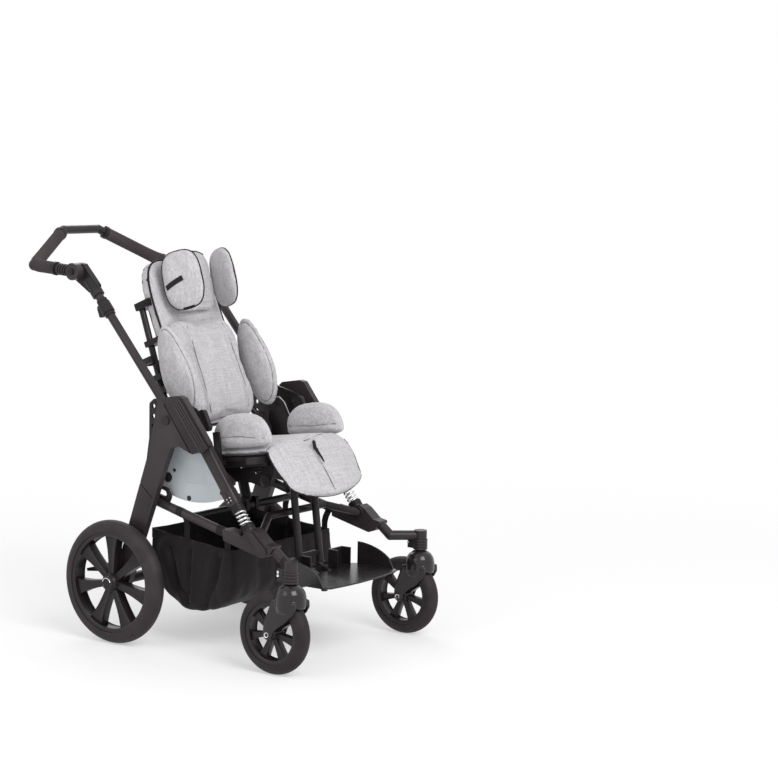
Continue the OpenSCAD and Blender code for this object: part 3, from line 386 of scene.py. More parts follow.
# woven cloth: threads across and along, slubs, and a melange of lighter and darker yarn
def wovenFinish(name, threads, yarn, slubLow, rough, sheen, bump, bumpDepth):
    mat, tree, shader, coords = newFinish(name)
    across = mappedNoise(tree, coords, threads, (0.07, 1, 1), roughness=0.6)
    along = mappedNoise(tree, coords, threads, (1, 0.09, 0.09), roughness=0.6)
    fleck = mappedNoise(tree, coords, threads * 0.42, detail=4, roughness=0.75)
    slub = sumOf(tree, mappedNoise(tree, coords, threads * 0.26, (0.06, 1, 1)), 0.5,
                 mappedNoise(tree, coords, threads * 0.26, (1, 0.07, 0.07)), 0.5)
    weave = sumOf(tree, sumOf(tree, across, 0.5, along, 0.5), 0.62, fleck, 0.38)
    shade = rampOf(tree, slub, [(0.4, slubLow), (0.6, (1.0, 1.0, 1.0))])
    setSockets(tree, shader, {
        "Base Color": mixColours(tree, "MULTIPLY", 1.0, rampOf(tree, weave, yarn), shade),
        "Roughness": rangeOf(tree, fleck, *rough), "Sheen Weight": sheen, "Sheen Roughness": 0.5,
        "Specular IOR Level": 0.15, "Normal": bumpOf(tree, weave, bump, bumpDepth)})
    return mat


# tyre rubber: moulding rings round the axle and a dull bloom
def tyreFinish(name, axle, rings, dark, light):
    mat, tree, shader, coords = newFinish(name)
    centre = addNode(tree, "Mapping", {"Location": (0, -axle.y, -axle.z), "Vector": coords})
    parts = addNode(tree, "SeparateXYZ", {"Vector": centre.outputs["Vector"]}).outputs
    squares = [mathOf(tree, "MULTIPLY", parts[k], parts[k]) for k in ("Y", "Z")]
    radius = mathOf(tree, "SQRT", mathOf(tree, "ADD", *squares))
    ring = mathOf(tree, "SINE", mathOf(tree, "MULTIPLY", radius, rings))
    bloom = mappedNoise(tree, coords, 24, detail=5)
    grain = mappedNoise(tree, coords, 900)
    setSockets(tree, shader, {
        "Base Color": rampOf(tree, bloom, [(0.3, dark), (0.7, light)]), "Roughness": rangeOf(tree, grain, 0.5, 0.72),
        "Specular IOR Level": 0.22, "Normal": bumpOf(tree, sumOf(tree, ring, 0.6, grain, 0.5), 0.35, 0.0004)})
    return mat


framePaint = hardFinish("framePaint", dark=(0.0185, 0.0138, 0.0148), light=(0.030, 0.0235, 0.0248),
                        rough=(0.27, 0.40), grain=1400, grainDepth=0.00004, specular=0.26)
blackMetal = hardFinish("blackMetal", dark=(0.0105, 0.0080, 0.0088), light=(0.016, 0.0130, 0.0138),
                        rough=(0.30, 0.44), grain=1100, grainDepth=0.00004, specular=0.24)
blackPlastic = hardFinish("blackPlastic", dark=(0.0105, 0.0080, 0.0088), light=(0.0155, 0.0125, 0.0133),
                          rough=(0.38, 0.55), grain=900, grainDepth=0.00008, specular=0.22)
forkGloss = hardFinish("forkGloss", dark=(0.0115, 0.0085, 0.0092), light=(0.0180, 0.0140, 0.0149),
                       rough=(0.14, 0.24), grain=800, grainDepth=0.00003, specular=0.24, coat=0.35)
rimPlastic = hardFinish("rimPlastic", dark=(0.0140, 0.0105, 0.0112), light=(0.0215, 0.0168, 0.0178),
                        rough=(0.25, 0.38), grain=900, grainDepth=0.00005, specular=0.24)
footPlastic = hardFinish("footPlastic", dark=(0.0095, 0.0075, 0.0082), light=(0.014, 0.0115, 0.0122),
                         rough=(0.20, 0.32), grain=700, grainDepth=0.00006)
# the grey plate gets a fainter painted highlight on its edges
plateGrey = hardFinish("plateGrey", dark=(0.40, 0.44, 0.465), light=(0.45, 0.49, 0.515),
                       rough=(0.3, 0.42), grain=600, grainDepth=0.00003, edgeHighlight=0.1)
steelBright = brushedFinish("steelBright", dark=(0.62, 0.62, 0.63), light=(0.85, 0.85, 0.86), rough=(0.18, 0.32))
foamGrip = hardFinish("foamGrip", dark=(0.040, 0.0315, 0.0335), light=(0.060, 0.048, 0.0505),
                      rough=(0.75, 0.92), grain=420, grainDepth=0.00025, specular=0.16)
clothGrey = wovenFinish("clothGrey", threads=1250, slubLow=(0.80, 0.80, 0.81), rough=(0.82, 0.95), sheen=0.25,
                        yarn=[(0.36, (0.345, 0.34, 0.355)), (0.5, (0.525, 0.512, 0.522)),
                              (0.64, (0.665, 0.652, 0.658))],
                        bump=0.5, bumpDepth=0.0004)
basketCloth = wovenFinish("basketCloth", threads=1500, slubLow=(0.7, 0.7, 0.7), rough=(0.6, 0.8), sheen=0.08,
                          yarn=[(0.36, (0.0075, 0.0055, 0.0062)), (0.64, (0.019, 0.0150, 0.0162))],
                          bump=0.4, bumpDepth=0.0003)
webbing = wovenFinish("webbing", threads=1100, slubLow=(0.8, 0.8, 0.8), rough=(0.6, 0.75), sheen=0.06,
                      yarn=[(0.36, (0.008, 0.007, 0.008)), (0.64, (0.020, 0.018, 0.019))], bump=0.5, bumpDepth=0.0003)
threadGrey = wovenFinish("threadGrey", threads=2500, slubLow=(0.9, 0.9, 0.9), rough=(0.7, 0.85), sheen=0.2,
                         yarn=[(0.36, (0.42, 0.42, 0.43)), (0.64, (0.62, 0.615, 0.62))], bump=0.3, bumpDepth=0.0002)
seamGrey = wovenFinish("seamGrey", threads=2500, slubLow=(0.9, 0.9, 0.9), rough=(0.8, 0.92), sheen=0.1,
                       yarn=[(0.36, (0.13, 0.125, 0.132)), (0.64, (0.22, 0.215, 0.22))], bump=0.3, bumpDepth=0.0002)
rearTyre = tyreFinish("rearTyre", jointPos["rear_wheel_left_spin"], rings=900,
                      dark=(0.025, 0.0195, 0.0208), light=(0.039, 0.0315, 0.0332))
casterTyre = tyreFinish("casterTyre", jointPos["caster_left_roll"], rings=1100,
                        dark=(0.0165, 0.0125, 0.0134), light=(0.0280, 0.0222, 0.0235))

# finish of each material slot, and the slot of each finish
finishOf = {
    "frame_paint": framePaint, "black_metal": blackMetal, "black_plastic": blackPlastic, "fork_gloss": forkGloss,
    "rim_plastic": rimPlastic, "spring_steel": steelBright, "bright_steel": steelBright, "side_plate_grey": plateGrey,
    "grip_foam": foamGrip, "cushion_cloth": clothGrey, "basket_cloth": basketCloth,
}
slotOf = {mat.name: slotName for slotName, mat in finishOf.items()}
slotOf[webbing.name] = "basket_cloth"
slotOf[threadGrey.name] = slotOf[seamGrey.name] = "cushion_cloth"
for part in frame["record"]["subparts"]:
    name = part["node"]
    if "tyre" in name:
        giveMaterial(nodes[name], casterTyre if "caster" in name else rearTyre)
    else:
        giveMaterial(nodes[name], finishOf[part["material_slot"]])
giveMaterial(nodes["plate_bolts"], blackMetal)  # blackened screws
giveMaterial(nodes["footplate"], footPlastic)
print("finishes set on the CAD nodes")

# stuffed pads: a copy of a closed mesh, remeshed, blown up a little by cloth pressure, then sewn
clothPlan = {"quality": 4, "mass": 0.3, "tension_stiffness": 20, "compression_stiffness": 20, "bending_stiffness": 0.8,
             "use_pressure": True}
clothFrames = 20


def inflate(obj, pressure, cap):
    start = [v.co.copy() for v in obj.data.vertices]
    cloth = obj.modifiers.new("cloth", "CLOTH")
    for key, value in clothPlan.items():
        setattr(cloth.settings, key, value)
    cloth.settings.uniform_pressure_force = pressure
    cloth.settings.effector_weights.gravity = 0
    cloth.point_cache.frame_start = 1
    cloth.point_cache.frame_end = clothFrames
    for step in range(1, clothFrames + 1):
        scene.frame_set(step)
    pick(obj)
    bpy.ops.object.modifier_apply(modifier=cloth.name)
    for v, was in zip(obj.data.vertices, start):
        move = v.co - was
        if move.length > cap:
            v.co = was + move * (cap / move.length)
    scene.frame_set(1)


def stuffed(name, mesh, settings):
    obj = newObject(name, mesh.copy())
    weld(obj, 0.00005)
    modify(obj, "REMESH", mode="VOXEL", voxel_size=settings["voxel"])
    modify(obj, "SMOOTH", factor=0.5, iterations=settings["relax"])
    inflate(obj, settings["pressure"], settings["cap"])
    return modify(obj, "SUBSURF", levels=1, render_levels=1)


def readPoints(obj, what="co"):
    flat = np.zeros(len(obj.data.vertices) * 3)
    obj.data.vertices.foreach_get(what, flat)
    return flat.reshape(-1, 3)


# moves each point along its normal
def pushOut(obj, amount):
    setPoints(obj, readPoints(obj) + readPoints(obj, "normal") * amount[:, None])


def setPoints(obj, co):
    obj.data.vertices.foreach_set("co", co.ravel())
    obj.data.update()


def distanceTo(co, path):
    best = np.full(len(co), 1e9)
    for a, b in zip(path[:-1], path[1:]):
        a, b = np.array(a), np.array(b)
        span = b - a
        k = np.clip(((co - a) @ span) / max(span @ span, 1e-12), 0, 1)
        best = np.minimum(best, np.linalg.norm(co - a - k[:, None] * span, axis=1))
    return best


# pulls the cloth in along a seam, with small gathers beside it
def sew(obj, path, depth, width, gather=0.0, gatherStep=0.012):
    co = readPoints(obj)
    away = distanceTo(co, path)
    pull = depth * np.exp(-(away / width) ** 2)
    if gather:
        wave = np.array([noise.noise(Vector(p) / gatherStep) for p in co])
        pull += gather * wave * np.exp(-(away / (3.2 * width)) ** 2)
    pushOut(obj, -pull)


# soft hollows and folds over the whole pad
def rumple(obj, depth, size, seed):
    shift = Vector((seed, seed * 0.7, seed * 0.3))
    wave = np.array([noise.noise(Vector(p) / size + shift) for p in readPoints(obj)])
    pushOut(obj, depth * wave)


# closest point of a pad's skin, lifted a little, so that piping and stitches lie on the cloth
def onSkin(obj, pts, lift=0.0):
    laid = []
    for p in pts:
        _, where, normal, _ = obj.closest_point_on_mesh(p)
        laid.append(where + normal * lift)
    return laid


# a row of stitches along a path
def stitches(name, obj, path, settings):
    lengths = [0.0]
    for a, b in zip(path[:-1], path[1:]):
        lengths.append(lengths[-1] + (b - a).length)
    last = len(path) - 2

    def skinAt(s):
        i = next((i for i in range(last) if s <= lengths[i + 1]), last)
        k = (s - lengths[i]) / max(lengths[i + 1] - lengths[i], 1e-9)
        return obj.closest_point_on_mesh(path[i].lerp(path[i + 1], min(max(k, 0), 1)))[1:3]

    bm = bmesh.new()
    for i in range(int(lengths[-1] / settings["pitch"])):
        (pa, na), (pb, nb) = (skinAt((i + k) * settings["pitch"]) for k in settings["ends"])
        go = pb - pa
        if go.length < 1e-5:
            continue
        normal = (na + nb).normalized()
        side = go.cross(normal).normalized() * settings["width"] / 2
        low, high = normal * settings["sink"], normal * settings["rise"]
        ring = [bm.verts.new(p) for p in (pa - low - side, pa - low + side, pb - low + side, pb - low - side)]
        top = [bm.verts.new(pa.lerp(pb, k) + high + s)
               for k, s in ((0.2, -side), (0.2, side), (0.8, side), (0.8, -side))]
        bm.faces.new(top)
        bridgeRows(bm, [ring, top], True)
        bm.faces.new(ring[::-1])
    return newObject(name, meshFrom(bm, name))


def padDone(obj, body, node=None):
    dress(obj, clothGrey, body, 180)
    if node:
        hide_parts(node)
    print("pad", obj.name, len(obj.data.polygons), "faces")


# the dark thread line that shows in the bottom of a seam
def seamLine(name, obj, path, body, radius=0.0009):
    dress(tubeAlong(name, onSkin(obj, path, 0.0004), radius, sides=2), seamGrey, body, 60)


# a left-hand pad and its twin, with the seam lines of both
def padPair(left, body, node, seamName, seams):
    right = mirrored(left)
    padDone(left, body, node + "_left")
    padDone(right, body, node + "_right")
    for seam, word in zip(seams, ("Inner", "Outer")):
        seamLine(seamName + "Left" + word, left, seam, body, 0.0007)
        seamLine(seamName + "Right" + word, right, flipX(seam), body, 0.0007)


def pipingOn(name, obj, pts, radius, lift, closed=False):
    return tubeAlong(name, onSkin(obj, pts, lift), radius, closed)


# outline of a cushion: a square softened to a curve, with its sides drawn in between the corners
def cushionOutline(halfWide, high, count, pull=0.02, power=4.5):
    ring = []
    for i in range(count):
        a = 2 * math.pi * i / count
        c, s = math.cos(a), math.sin(a)
        r = (abs(c) ** power + abs(s) ** power) ** (-1 / power)
        draw = 1 - pull * math.cos(2 * a) ** 2
        ring.append((halfWide * c * r * draw, high / 2 + high / 2 * s * r * draw))
    return ring


# closed shell over an outline in the XZ plane, from rings of (share of the outline, y)
def shellMesh(name, outline, rings, place):
    mx, mz = (sum(p[k] for p in outline) / len(outline) for k in (0, 1))
    bm = bmesh.new()
    rows = [[bm.verts.new(place @ Vector((mx + s * (x - mx), y, mz + s * (z - mz)))) for x, z in outline]
            for s, y in rings]
    bridgeRows(bm, rows, True)
    capEnds(bm, rows)
    return meshFrom(bm, name)


# rings of a pad that is crowned towards -Y
def crownRings(front, back):
    steps = (0.12, 0.4, 0.66, 0.86, 0.97)
    rings = [(s, -front * math.sqrt(1 - s ** 2.6)) for s in steps] + [(1.0, 0.0)]
    return rings + [(s, back * math.sqrt(1 - s ** 3.5)) for s in reversed(steps)]


# flat strap laid on a pad along the points given, with a width for each point
def strapOn(name, obj, pts, widths, thick, lift):
    bm = bmesh.new()
    rows = []
    for a, b, wide in zip(pts, pts[1:] + [pts[-1] + (pts[-1] - pts[-2])], widths):
        _, where, normal, _ = obj.closest_point_on_mesh(a)
        side = (b - a).cross(normal).normalized() * wide / 2
        low, high = where + normal * lift, where + normal * (lift + thick)
        rows.append([bm.verts.new(p) for p in (low - side, low + side, high + side, high - side)])
    bridgeRows(bm, rows, True)
    capEnds(bm, rows)
    return softEdges(newObject(name, meshFrom(bm, name)), thick * 0.3, 2, 50)


# back cushion: two seams with stitches beside them, and slack creases down the bolsters
backPad = {"voxel": 0.005, "relax": 4, "pressure": 4.0, "cap": 0.008, "seamX": (0.088, 0.080), "seamZ": (0.03, 0.270),
           "seamDepth": 0.006, "seamWidth": 0.006, "gather": 0.0012, "creases": 3, "creaseDepth": 0.0028,
           "creaseWidth": 0.0055, "rumple": (0.0014, 0.055, 3), "piping": 0.0022, "pipingX": 0.128}
stitchRow = {"pitch": 0.0052, "ends": (0.12, 0.78), "width": 0.0011, "sink": 0.0006, "rise": 0.0006, "beside": 0.0055}
backCushion = stuffed("backCushion", nodes["back_cushion"].data, backPad)
(seamX, topX), (seamZ, topZ) = backPad["seamX"], backPad["seamZ"]
for side, _ in bothSides:
    seam = inFrame(backFrame, [(side * (seamX + (topX - seamX) * k), -0.045, seamZ + (topZ - seamZ) * k)
                               for k in (0, 0.2, 0.4, 0.6, 0.8, 1)])
    sew(backCushion, onSkin(backCushion, seam), backPad["seamDepth"], backPad["seamWidth"], backPad["gather"])
    for i in range(backPad["creases"]):
        fold = inFrame(backFrame, [(side * (0.122 - 0.006 * i), -0.03, 0.245 - 0.03 * i),
                                   (side * (0.112 - 0.004 * i), -0.04, 0.16),
                                   (side * (0.100 - 0.003 * i), -0.042, 0.07 + 0.012 * i)])
        sew(backCushion, onSkin(backCushion, fold), backPad["creaseDepth"], backPad["creaseWidth"])
rumple(backCushion, *backPad["rumple"])
padDone(backCushion, "back_unit", "back_cushion")
backSeams = [onSkin(backCushion, inFrame(backFrame, [(side * (0.0885 - 0.0085 * k), -0.06, 0.03 + 0.24 * k)
                                                     for k in (0, 0.17, 0.33, 0.5, 0.67, 0.83, 1)]), 0.0004)
             for side, _ in bothSides]
for (side, word), seam in zip(bothSides, backSeams):
    seamLine("backSeam" + word, backCushion, seam, "back_unit")
for (side, word), seam in zip(bothSides, backSeams):
    beside = [p + Vector((side * stitchRow["beside"], 0, 0)) for p in seam]
    dress(stitches("backStitches" + word, backCushion, beside, stitchRow), threadGrey, "back_unit", 60)

# side pads with a band sewn in round the front edge
lateralPad = {"voxel": 0.005, "relax": 5, "pressure": 4.0, "cap": 0.007, "middle": (-0.038, 0.152),
              "half": (0.052, 0.118), "inner": 0.0216, "band": 0.9, "bandAt": (-0.0106, 0.008), "seamDepth": 0.0024,
              "seamWidth": 0.0042, "gather": 0.001, "rumple": (0.0016, 0.045, 5)}
lateralLeft = stuffed("lateralPadLeft", nodes["lateral_pad_left"].data, lateralPad)
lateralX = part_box("lateral_pad_left")[0][0] + lateralPad["inner"]


def lateralEdge(offset):
    pts = []
    (midY, midZ), (halfY, halfZ), band = (lateralPad[k] for k in ("middle", "half", "band"))
    for a in range(80, 281, 10):
        c, v = math.cos(math.radians(a)), math.sin(math.radians(a))
        u = halfY * c * (1 - 0.18 * max(0, v))
        w = halfZ * v - 0.016 * max(0, -c) * (1 - abs(v))
        pts.append(backFrame @ Vector((lateralX + offset, midY + band * u, midZ + band * w)))
    return pts


lateralSeams = [onSkin(lateralLeft, lateralEdge(offset)) for offset in lateralPad["bandAt"]]
for seam in lateralSeams:
    sew(lateralLeft, seam, lateralPad["seamDepth"], lateralPad["seamWidth"], lateralPad["gather"])
rumple(lateralLeft, *lateralPad["rumple"])
padPair(lateralLeft, "back_unit", "lateral_pad", "lateralSeam", lateralSeams)

# hip pads with a seam along the foot
hipPad = {"voxel": 0.0045, "relax": 4, "pressure": 4.0, "cap": 0.006, "middle": (0.144, -0.144), "seamHeight": 0.021,
          "halfLength": 0.078, "seamOut": 0.03, "seamDepth": 0.0012, "seamWidth": 0.0045, "gather": 0.001,
          "rumple": (0.0014, 0.045, 9)}
hipLeft = stuffed("hipPadLeft", nodes["hip_pad_left"].data, hipPad)
hipSeams = [inFrame(seatFrame, [(hipPad["middle"][0] + out * hipPad["seamOut"],
                                 hipPad["middle"][1] + hipPad["halfLength"] * k, hipPad["seamHeight"])
                                for k in (-1, -0.6, -0.2, 0.2, 0.6, 1)]) for out in (-1, 1)]
for seam in hipSeams:
    sew(hipLeft, onSkin(hipLeft, seam), hipPad["seamDepth"], hipPad["seamWidth"], hipPad["gather"])
rumple(hipLeft, *hipPad["rumple"])
padPair(hipLeft, "seat_unit", "hip_pad", "hipSeam", hipSeams)

# seat cushion: a strip that runs over the seat and down in front
seatPad = {"voxel": 0.005, "relax": 3, "pressure": 4.0, "cap": 0.0035, "flat": 0.212, "bendRadius": 0.026, "bend": 63,
           "apron": 0.138, "halfWidth": 0.154, "slit": (0.605, 0.765), "crossSeam": 0.555, "tape": 0.0020,
           "crossSew": (0.0045, 0.0045, 0.0009), "slitSew": (0.010, 0.0042), "lowerSew": (0.004, 0.004, 0.0009),
           "rumple": (0.0013, 0.05, 12)}


def onSeat(x, t, lift=0.006):
    lean, bend = math.radians(seatPlace["angle"]), math.radians(seatPad["bend"])
    ahead, up = Vector((0, -math.cos(lean), math.sin(lean))), Vector((0, math.sin(lean), math.cos(lean)))
    flat, radius = seatPad["flat"], seatPad["bendRadius"]
    arc = radius * bend
    along = t * (flat + arc + seatPad["apron"])
    at, out = Vector(seatPlace["rear"]) + ahead * min(along, flat), up
    if along >= flat:
        a = min(bend, (along - flat) / arc * bend)
        out = up * math.cos(a) + ahead * math.sin(a)
        go = ahead * math.cos(a) - up * math.sin(a)
        at += (out - up) * radius + go * max(0, along - flat - arc)
    return Vector((x, 0, 0)) + at + out * lift


seatCushion = stuffed("seatCushion", nodes["seat_cushion"].data, seatPad)
halfSeat, (slitTop, slitFoot) = seatPad["halfWidth"], seatPad["slit"]
acrossSeat = [onSeat(halfSeat * k, seatPad["crossSeam"] + 0.05 * (1 - abs(k)) ** 2)
              for k in (-0.98, -0.75, -0.5, -0.25, 0)]
for seam in (flipX(acrossSeat), acrossSeat):
    sew(seatCushion, onSkin(seatCushion, seam), *seatPad["crossSew"])
slit = [onSeat(0, slitTop + (slitFoot - slitTop) * k) for k in (0, 0.25, 0.5, 0.75, 1)]
sew(seatCushion, onSkin(seatCushion, slit), *seatPad["slitSew"])
below = [onSeat(0, t) for t in (0.77, 0.82, 0.87, 0.92, 0.97)]
sew(seatCushion, onSkin(seatCushion, below), *seatPad["lowerSew"])
rumple(seatCushion, *seatPad["rumple"])
padDone(seatCushion, "seat_unit", "seat_cushion")
seamLine("seatCrossSeam", seatCushion, acrossSeat + flipX(acrossSeat[-2::-1]), "seat_unit")
seamLine("seatLowerSeam", seatCushion, below, "seat_unit")
slitLine = [onSeat(0, slitTop + 0.16 * k, 0.02) for k in (0, 0.12, 0.25, 0.4, 0.55, 0.7, 0.85, 1)]
slitWidths = (0.003, 0.0085, 0.0095, 0.0088, 0.0075, 0.006, 0.0045, 0.0025)
dress(strapOn("seatSlit", seatCushion, slitLine, slitWidths, 0.0012, 0.0002), webbing, "seat_unit", 60)
apronEdge = [onSeat(halfSeat * x, t, -0.011) for x, t in
             ((-1.02, 0.60), (-1.04, 0.66), (-1.05, 0.72), (-1.05, 0.78), (-1.03, 0.84), (-0.98, 0.89), (-0.86, 0.94),
              (-0.66, 0.975), (-0.33, 0.995), (0, 1.0))]
apronEdge += flipX(apronEdge[-2::-1])
dress(pipingOn("apronTape", seatCushion, apronEdge, seatPad["tape"], 0.0002), webbing, "seat_unit", 60)

# headrest: a middle pad and two wings on a slide block
headPad = {"voxel": 0.0045, "relax": 3, "pressure": 4.0, "cap": 0.005, "halfWidth": 0.084, "height": 0.158,
           "front": 0.023, "back": 0.007, "wingHalf": (0.0535, 0.0740), "wingThick": 0.0145, "wingTurn": 108,
           "wingRoot": (0.094, 0.002), "wingReach": 0.055, "piping": 0.0019, "strap": 0.0125, "slot": 0.0024,
           "square": 0.7, "sew": (0.003, 0.005, 0.001), "rumple": (0.0011, 0.05, 21), "wingRumple": (0.0011, 0.05, 23)}
headOutline = cushionOutline(headPad["halfWidth"], headPad["height"], 32)
headCrown = crownRings(headPad["front"], headPad["back"])
headMiddle = stuffed("headrestPad", shellMesh("headPad", headOutline, headCrown, headFrame), headPad)
headSeam = inFrame(headFrame, [(-0.06, -0.03, 0.01), (0, -0.03, 0.008), (0.06, -0.03, 0.01)])
sew(headMiddle, onSkin(headMiddle, headSeam), *headPad["sew"])
rumple(headMiddle, *headPad["rumple"])
padDone(headMiddle, "headrest", "headrest")
wingFrame = headFrame @ Matrix.Translation((*headPad["wingRoot"], headPad["height"] * 0.47)) \
    @ turned(-headPad["wingTurn"], "Z") @ Matrix.Translation((headPad["wingReach"], 0, 0))


# outline of a wing: an oval squared towards its corners
def wingRing(count, grow=1.0):
    ring = []
    for i in range(count):
        c, v = math.cos(2 * math.pi * i / count), math.sin(2 * math.pi * i / count)
        ring.append(tuple(grow * half * math.copysign(abs(k) ** headPad["square"], k)
                          for half, k in zip(headPad["wingHalf"], (c, v))))
    return ring


wingCrown = crownRings(headPad["wingThick"], headPad["wingThick"])
wingLeft = stuffed("headWingLeft", shellMesh("headWing", wingRing(32), wingCrown, wingFrame), headPad)
rumple(wingLeft, *headPad["wingRumple"])
for wing in (wingLeft, mirrored(wingLeft)):
    padDone(wing, "headrest")

# black piping round the rim of each wing and over the top of the middle pad, a strap and a slot on each wing
wingRim = inFrame(wingFrame, [(x, 0.003, z) for x, z in wingRing(40, 1.03)])
wingPiping = pipingOn("wingPipingLeft", wingLeft, wingRim, headPad["piping"], 0.0004, True)
headEdge = sorted(((x * 0.965, -0.012, z * 0.99) for x, z in headOutline if z > 0.13), key=lambda p: p[0])
headPiping = pipingOn("headrestPiping", headMiddle, inFrame(headFrame, headEdge), headPad["piping"], 0.0006)
strapLine = inFrame(wingFrame, [(x, 0.035, 0.002 + 0.28 * x)
                                for x in (-0.0525, -0.047, -0.039, -0.029, -0.018, -0.007, 0.006)])
strapLeft = strapOn("headStrapLeft", wingLeft, strapLine, [headPad["strap"]] * len(strapLine), 0.0016, 0.0004)
slotLine = inFrame(wingFrame, [(x, 0.010, -0.0735) for x in (-0.012, -0.004, 0.004, 0.012, 0.020)])
slotLeft = pipingOn("headSlotLeft", wingLeft, slotLine, headPad["slot"], 0.0002)
for trim in (wingPiping, strapLeft, slotLeft):
    for obj in (trim, mirrored(trim)):
        dress(obj, webbing, "headrest", 60)
dress(headPiping, webbing, "headrest", 60)

# slide block between the headrest and the board
slidePlan = {"at": (0, -0.00925, 0.349), "size": (0.090, 0.0135, 0.060), "edge": 0.003}
deselectAll()
bpy.ops.mesh.primitive_cube_add(size=1)
headSlide = bpy.context.object
headSlide.name = "headrestSlide"
headSlide.data.transform(backFrame @ Matrix.Translation(slidePlan["at"]) @ Matrix.Diagonal((*slidePlan["size"], 1)))
dress(softEdges(headSlide, slidePlan["edge"], angle=30), blackPlastic, "headrest", 60)

# cloth cover of the back board, with black piping round its front edge
coverPlan = {"halfWidth": 0.1245, "height": 0.440, "foot": 0.011, "piping": 0.0026, "voxel": 0.005, "relax": 2,
             "pressure": 2.0, "cap": 0.002, "rumple": (0.0008, 0.05, 31)}
coverRings = ((0.5, -0.0062), (0.93, -0.0055), (0.985, -0.0035), (1.0, 0.002), (1.0, 0.021), (0.985, 0.0262),
              (0.93, 0.028), (0.5, 0.0285))
coverOutline = cushionOutline(coverPlan["halfWidth"], coverPlan["height"], 40)
coverPlace = backFrame @ Matrix.Translation((0, 0, coverPlan["foot"]))
boardCover = stuffed("boardCover", shellMesh("boardCover", coverOutline, coverRings, coverPlace), coverPlan)
rumple(boardCover, *coverPlan["rumple"])
padDone(boardCover, "back_unit")
coverEdge = inFrame(coverPlace, [(x, -0.0015, z) for x, z in coverOutline])
dress(pipingOn("boardPiping", boardCover, coverEdge, coverPlan["piping"], 0.0016, True), webbing, "back_unit", 60)

# piping down the outer edges of the back cushion
for side, word in bothSides:
    pts = inFrame(backFrame, [(side * backPad["pipingX"], -0.012, z) for z in (0.05, 0.09, 0.13, 0.17, 0.21, 0.25)])
    dress(pipingOn("backPiping" + word, backCushion, pts, backPad["piping"], 0.0004), webbing, "back_unit", 60)
print("upholstery ready")


# side frame's main points as (y, z) in metres, as in the part's source
def sideAt(x, p):
    return Vector((x, *p))


sidePlan = {"tubeX": 0.214, "downAngle": 36.2, "downEnd": (-0.225212, 0.366924), "latch": (0.045025, 0.356),
            "lugIn": (-0.200736, 0.296824)}
downAngle = math.radians(sidePlan["downAngle"])
downDir = Vector((0, -math.sin(downAngle), -math.cos(downAngle)))
armDir = (sideAt(0, sidePlan["lugIn"]) - sideAt(0, sidePlan["latch"])).normalized()

# coil springs: one smooth wire with closed end turns, between the frame and the arm
springPlan = {"radius": 0.0125, "wire": 0.0027, "length": 0.072, "turns": 7, "stepsPerTurn": 12, "seat": 0.0044,
              "giveFrom": 0.012, "giveTo": 0.060}


def coilPoints(side, foot):
    up, out = -downDir, Vector((1, 0, 0))
    ahead = up.cross(out).normalized()
    low = springPlan["seat"] + springPlan["wire"]
    rise = springPlan["length"] - 2 * low + 0.004
    count = springPlan["turns"] * springPlan["stepsPerTurn"]
    pts = []
    for i in range(count + 1):
        k = i / count
        a = 2 * math.pi * i / springPlan["stepsPerTurn"]
        ease = min(max((k - 0.1) / 0.8, 0), 1) * 0.86 + 0.07 * min(k / 0.1, 1) + 0.07 * max((k - 0.9) / 0.1, 0)
        pts.append(foot + up * (low + rise * ease) + out * side * springPlan["radius"] * math.cos(a)
                   + ahead * springPlan["radius"] * math.sin(a))
    return pts


for side, word in bothSides:
    top = sideAt(side * sidePlan["tubeX"], sidePlan["downEnd"])
    coil = tubeAlong("springCoil" + word, coilPoints(side, top + downDir * springPlan["length"]), springPlan["wire"])
    giveMaterial(coil, steelBright)
    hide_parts("suspension_spring_" + word.lower())
    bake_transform(coil)
print("springs ready")

# foam grips: one bent sleeve at each side, with a dark ring at each end
gripPlan = {"halfWidth": 0.230, "joint": (0.271475, 0.8883), "reach": 0.135, "rise": 0.010, "back": 0.061, "up": 0.081,
            "peakHalf": 0.064, "start": 0.0585, "radius": 0.0155, "bend": 0.022, "ringRadius": 0.0168,
            "ringLong": 0.010, "ringEdge": 0.002, "swell": 0.0011, "swellLong": 0.028}


def gripPath(side):
    joint = sideAt(side * gripPlan["halfWidth"], gripPlan["joint"])
    corner = joint + Vector((0, gripPlan["reach"], gripPlan["rise"]))
    peak = Vector((side * gripPlan["peakHalf"], corner.y + gripPlan["back"], corner.z + gripPlan["up"]))
    return joint + (corner - joint) / gripPlan["reach"] * gripPlan["start"], corner, corner.lerp(peak, 0.9)


def bentPoints(first, corner, last, bend, count=7):
    a, b = corner - (corner - first).normalized() * bend, corner + (last - corner).normalized() * bend
    pts = [first.lerp(a, k) for k in (0, 0.33, 0.66)]
    for i in range(count):
        k = i / (count - 1)
        pts.append(a.lerp(corner, k).lerp(corner.lerp(b, k), k))
    return pts + [b.lerp(last, k) for k in (0.25, 0.5, 0.75, 1)]


for side, word in bothSides:
    first, corner, last = gripPath(side)
    foam = tubeAlong("foamGrip" + word, bentPoints(first, corner, last, gripPlan["bend"]), gripPlan["radius"], sides=8)
    near = np.linalg.norm(readPoints(foam) - np.array(corner), axis=1)
    pushOut(foam, gripPlan["swell"] * np.exp(-(near / gripPlan["swellLong"]) ** 2))
    dress(foam, foamGrip, "handle")
    if side > 0:
        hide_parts("foam_grips")
    rings = []
    for end in (first, last):
        inward = (corner - end).normalized()
        rings.append(turnedKnob("gripRing", end + inward * (gripPlan["ringLong"] / 2 - 0.0006), inward,
                                gripPlan["ringRadius"], gripPlan["ringLong"], gripPlan["ringEdge"]))
    dress(joined(rings, "gripRings" + word), blackPlastic, "handle", 35)
print("grips ready")

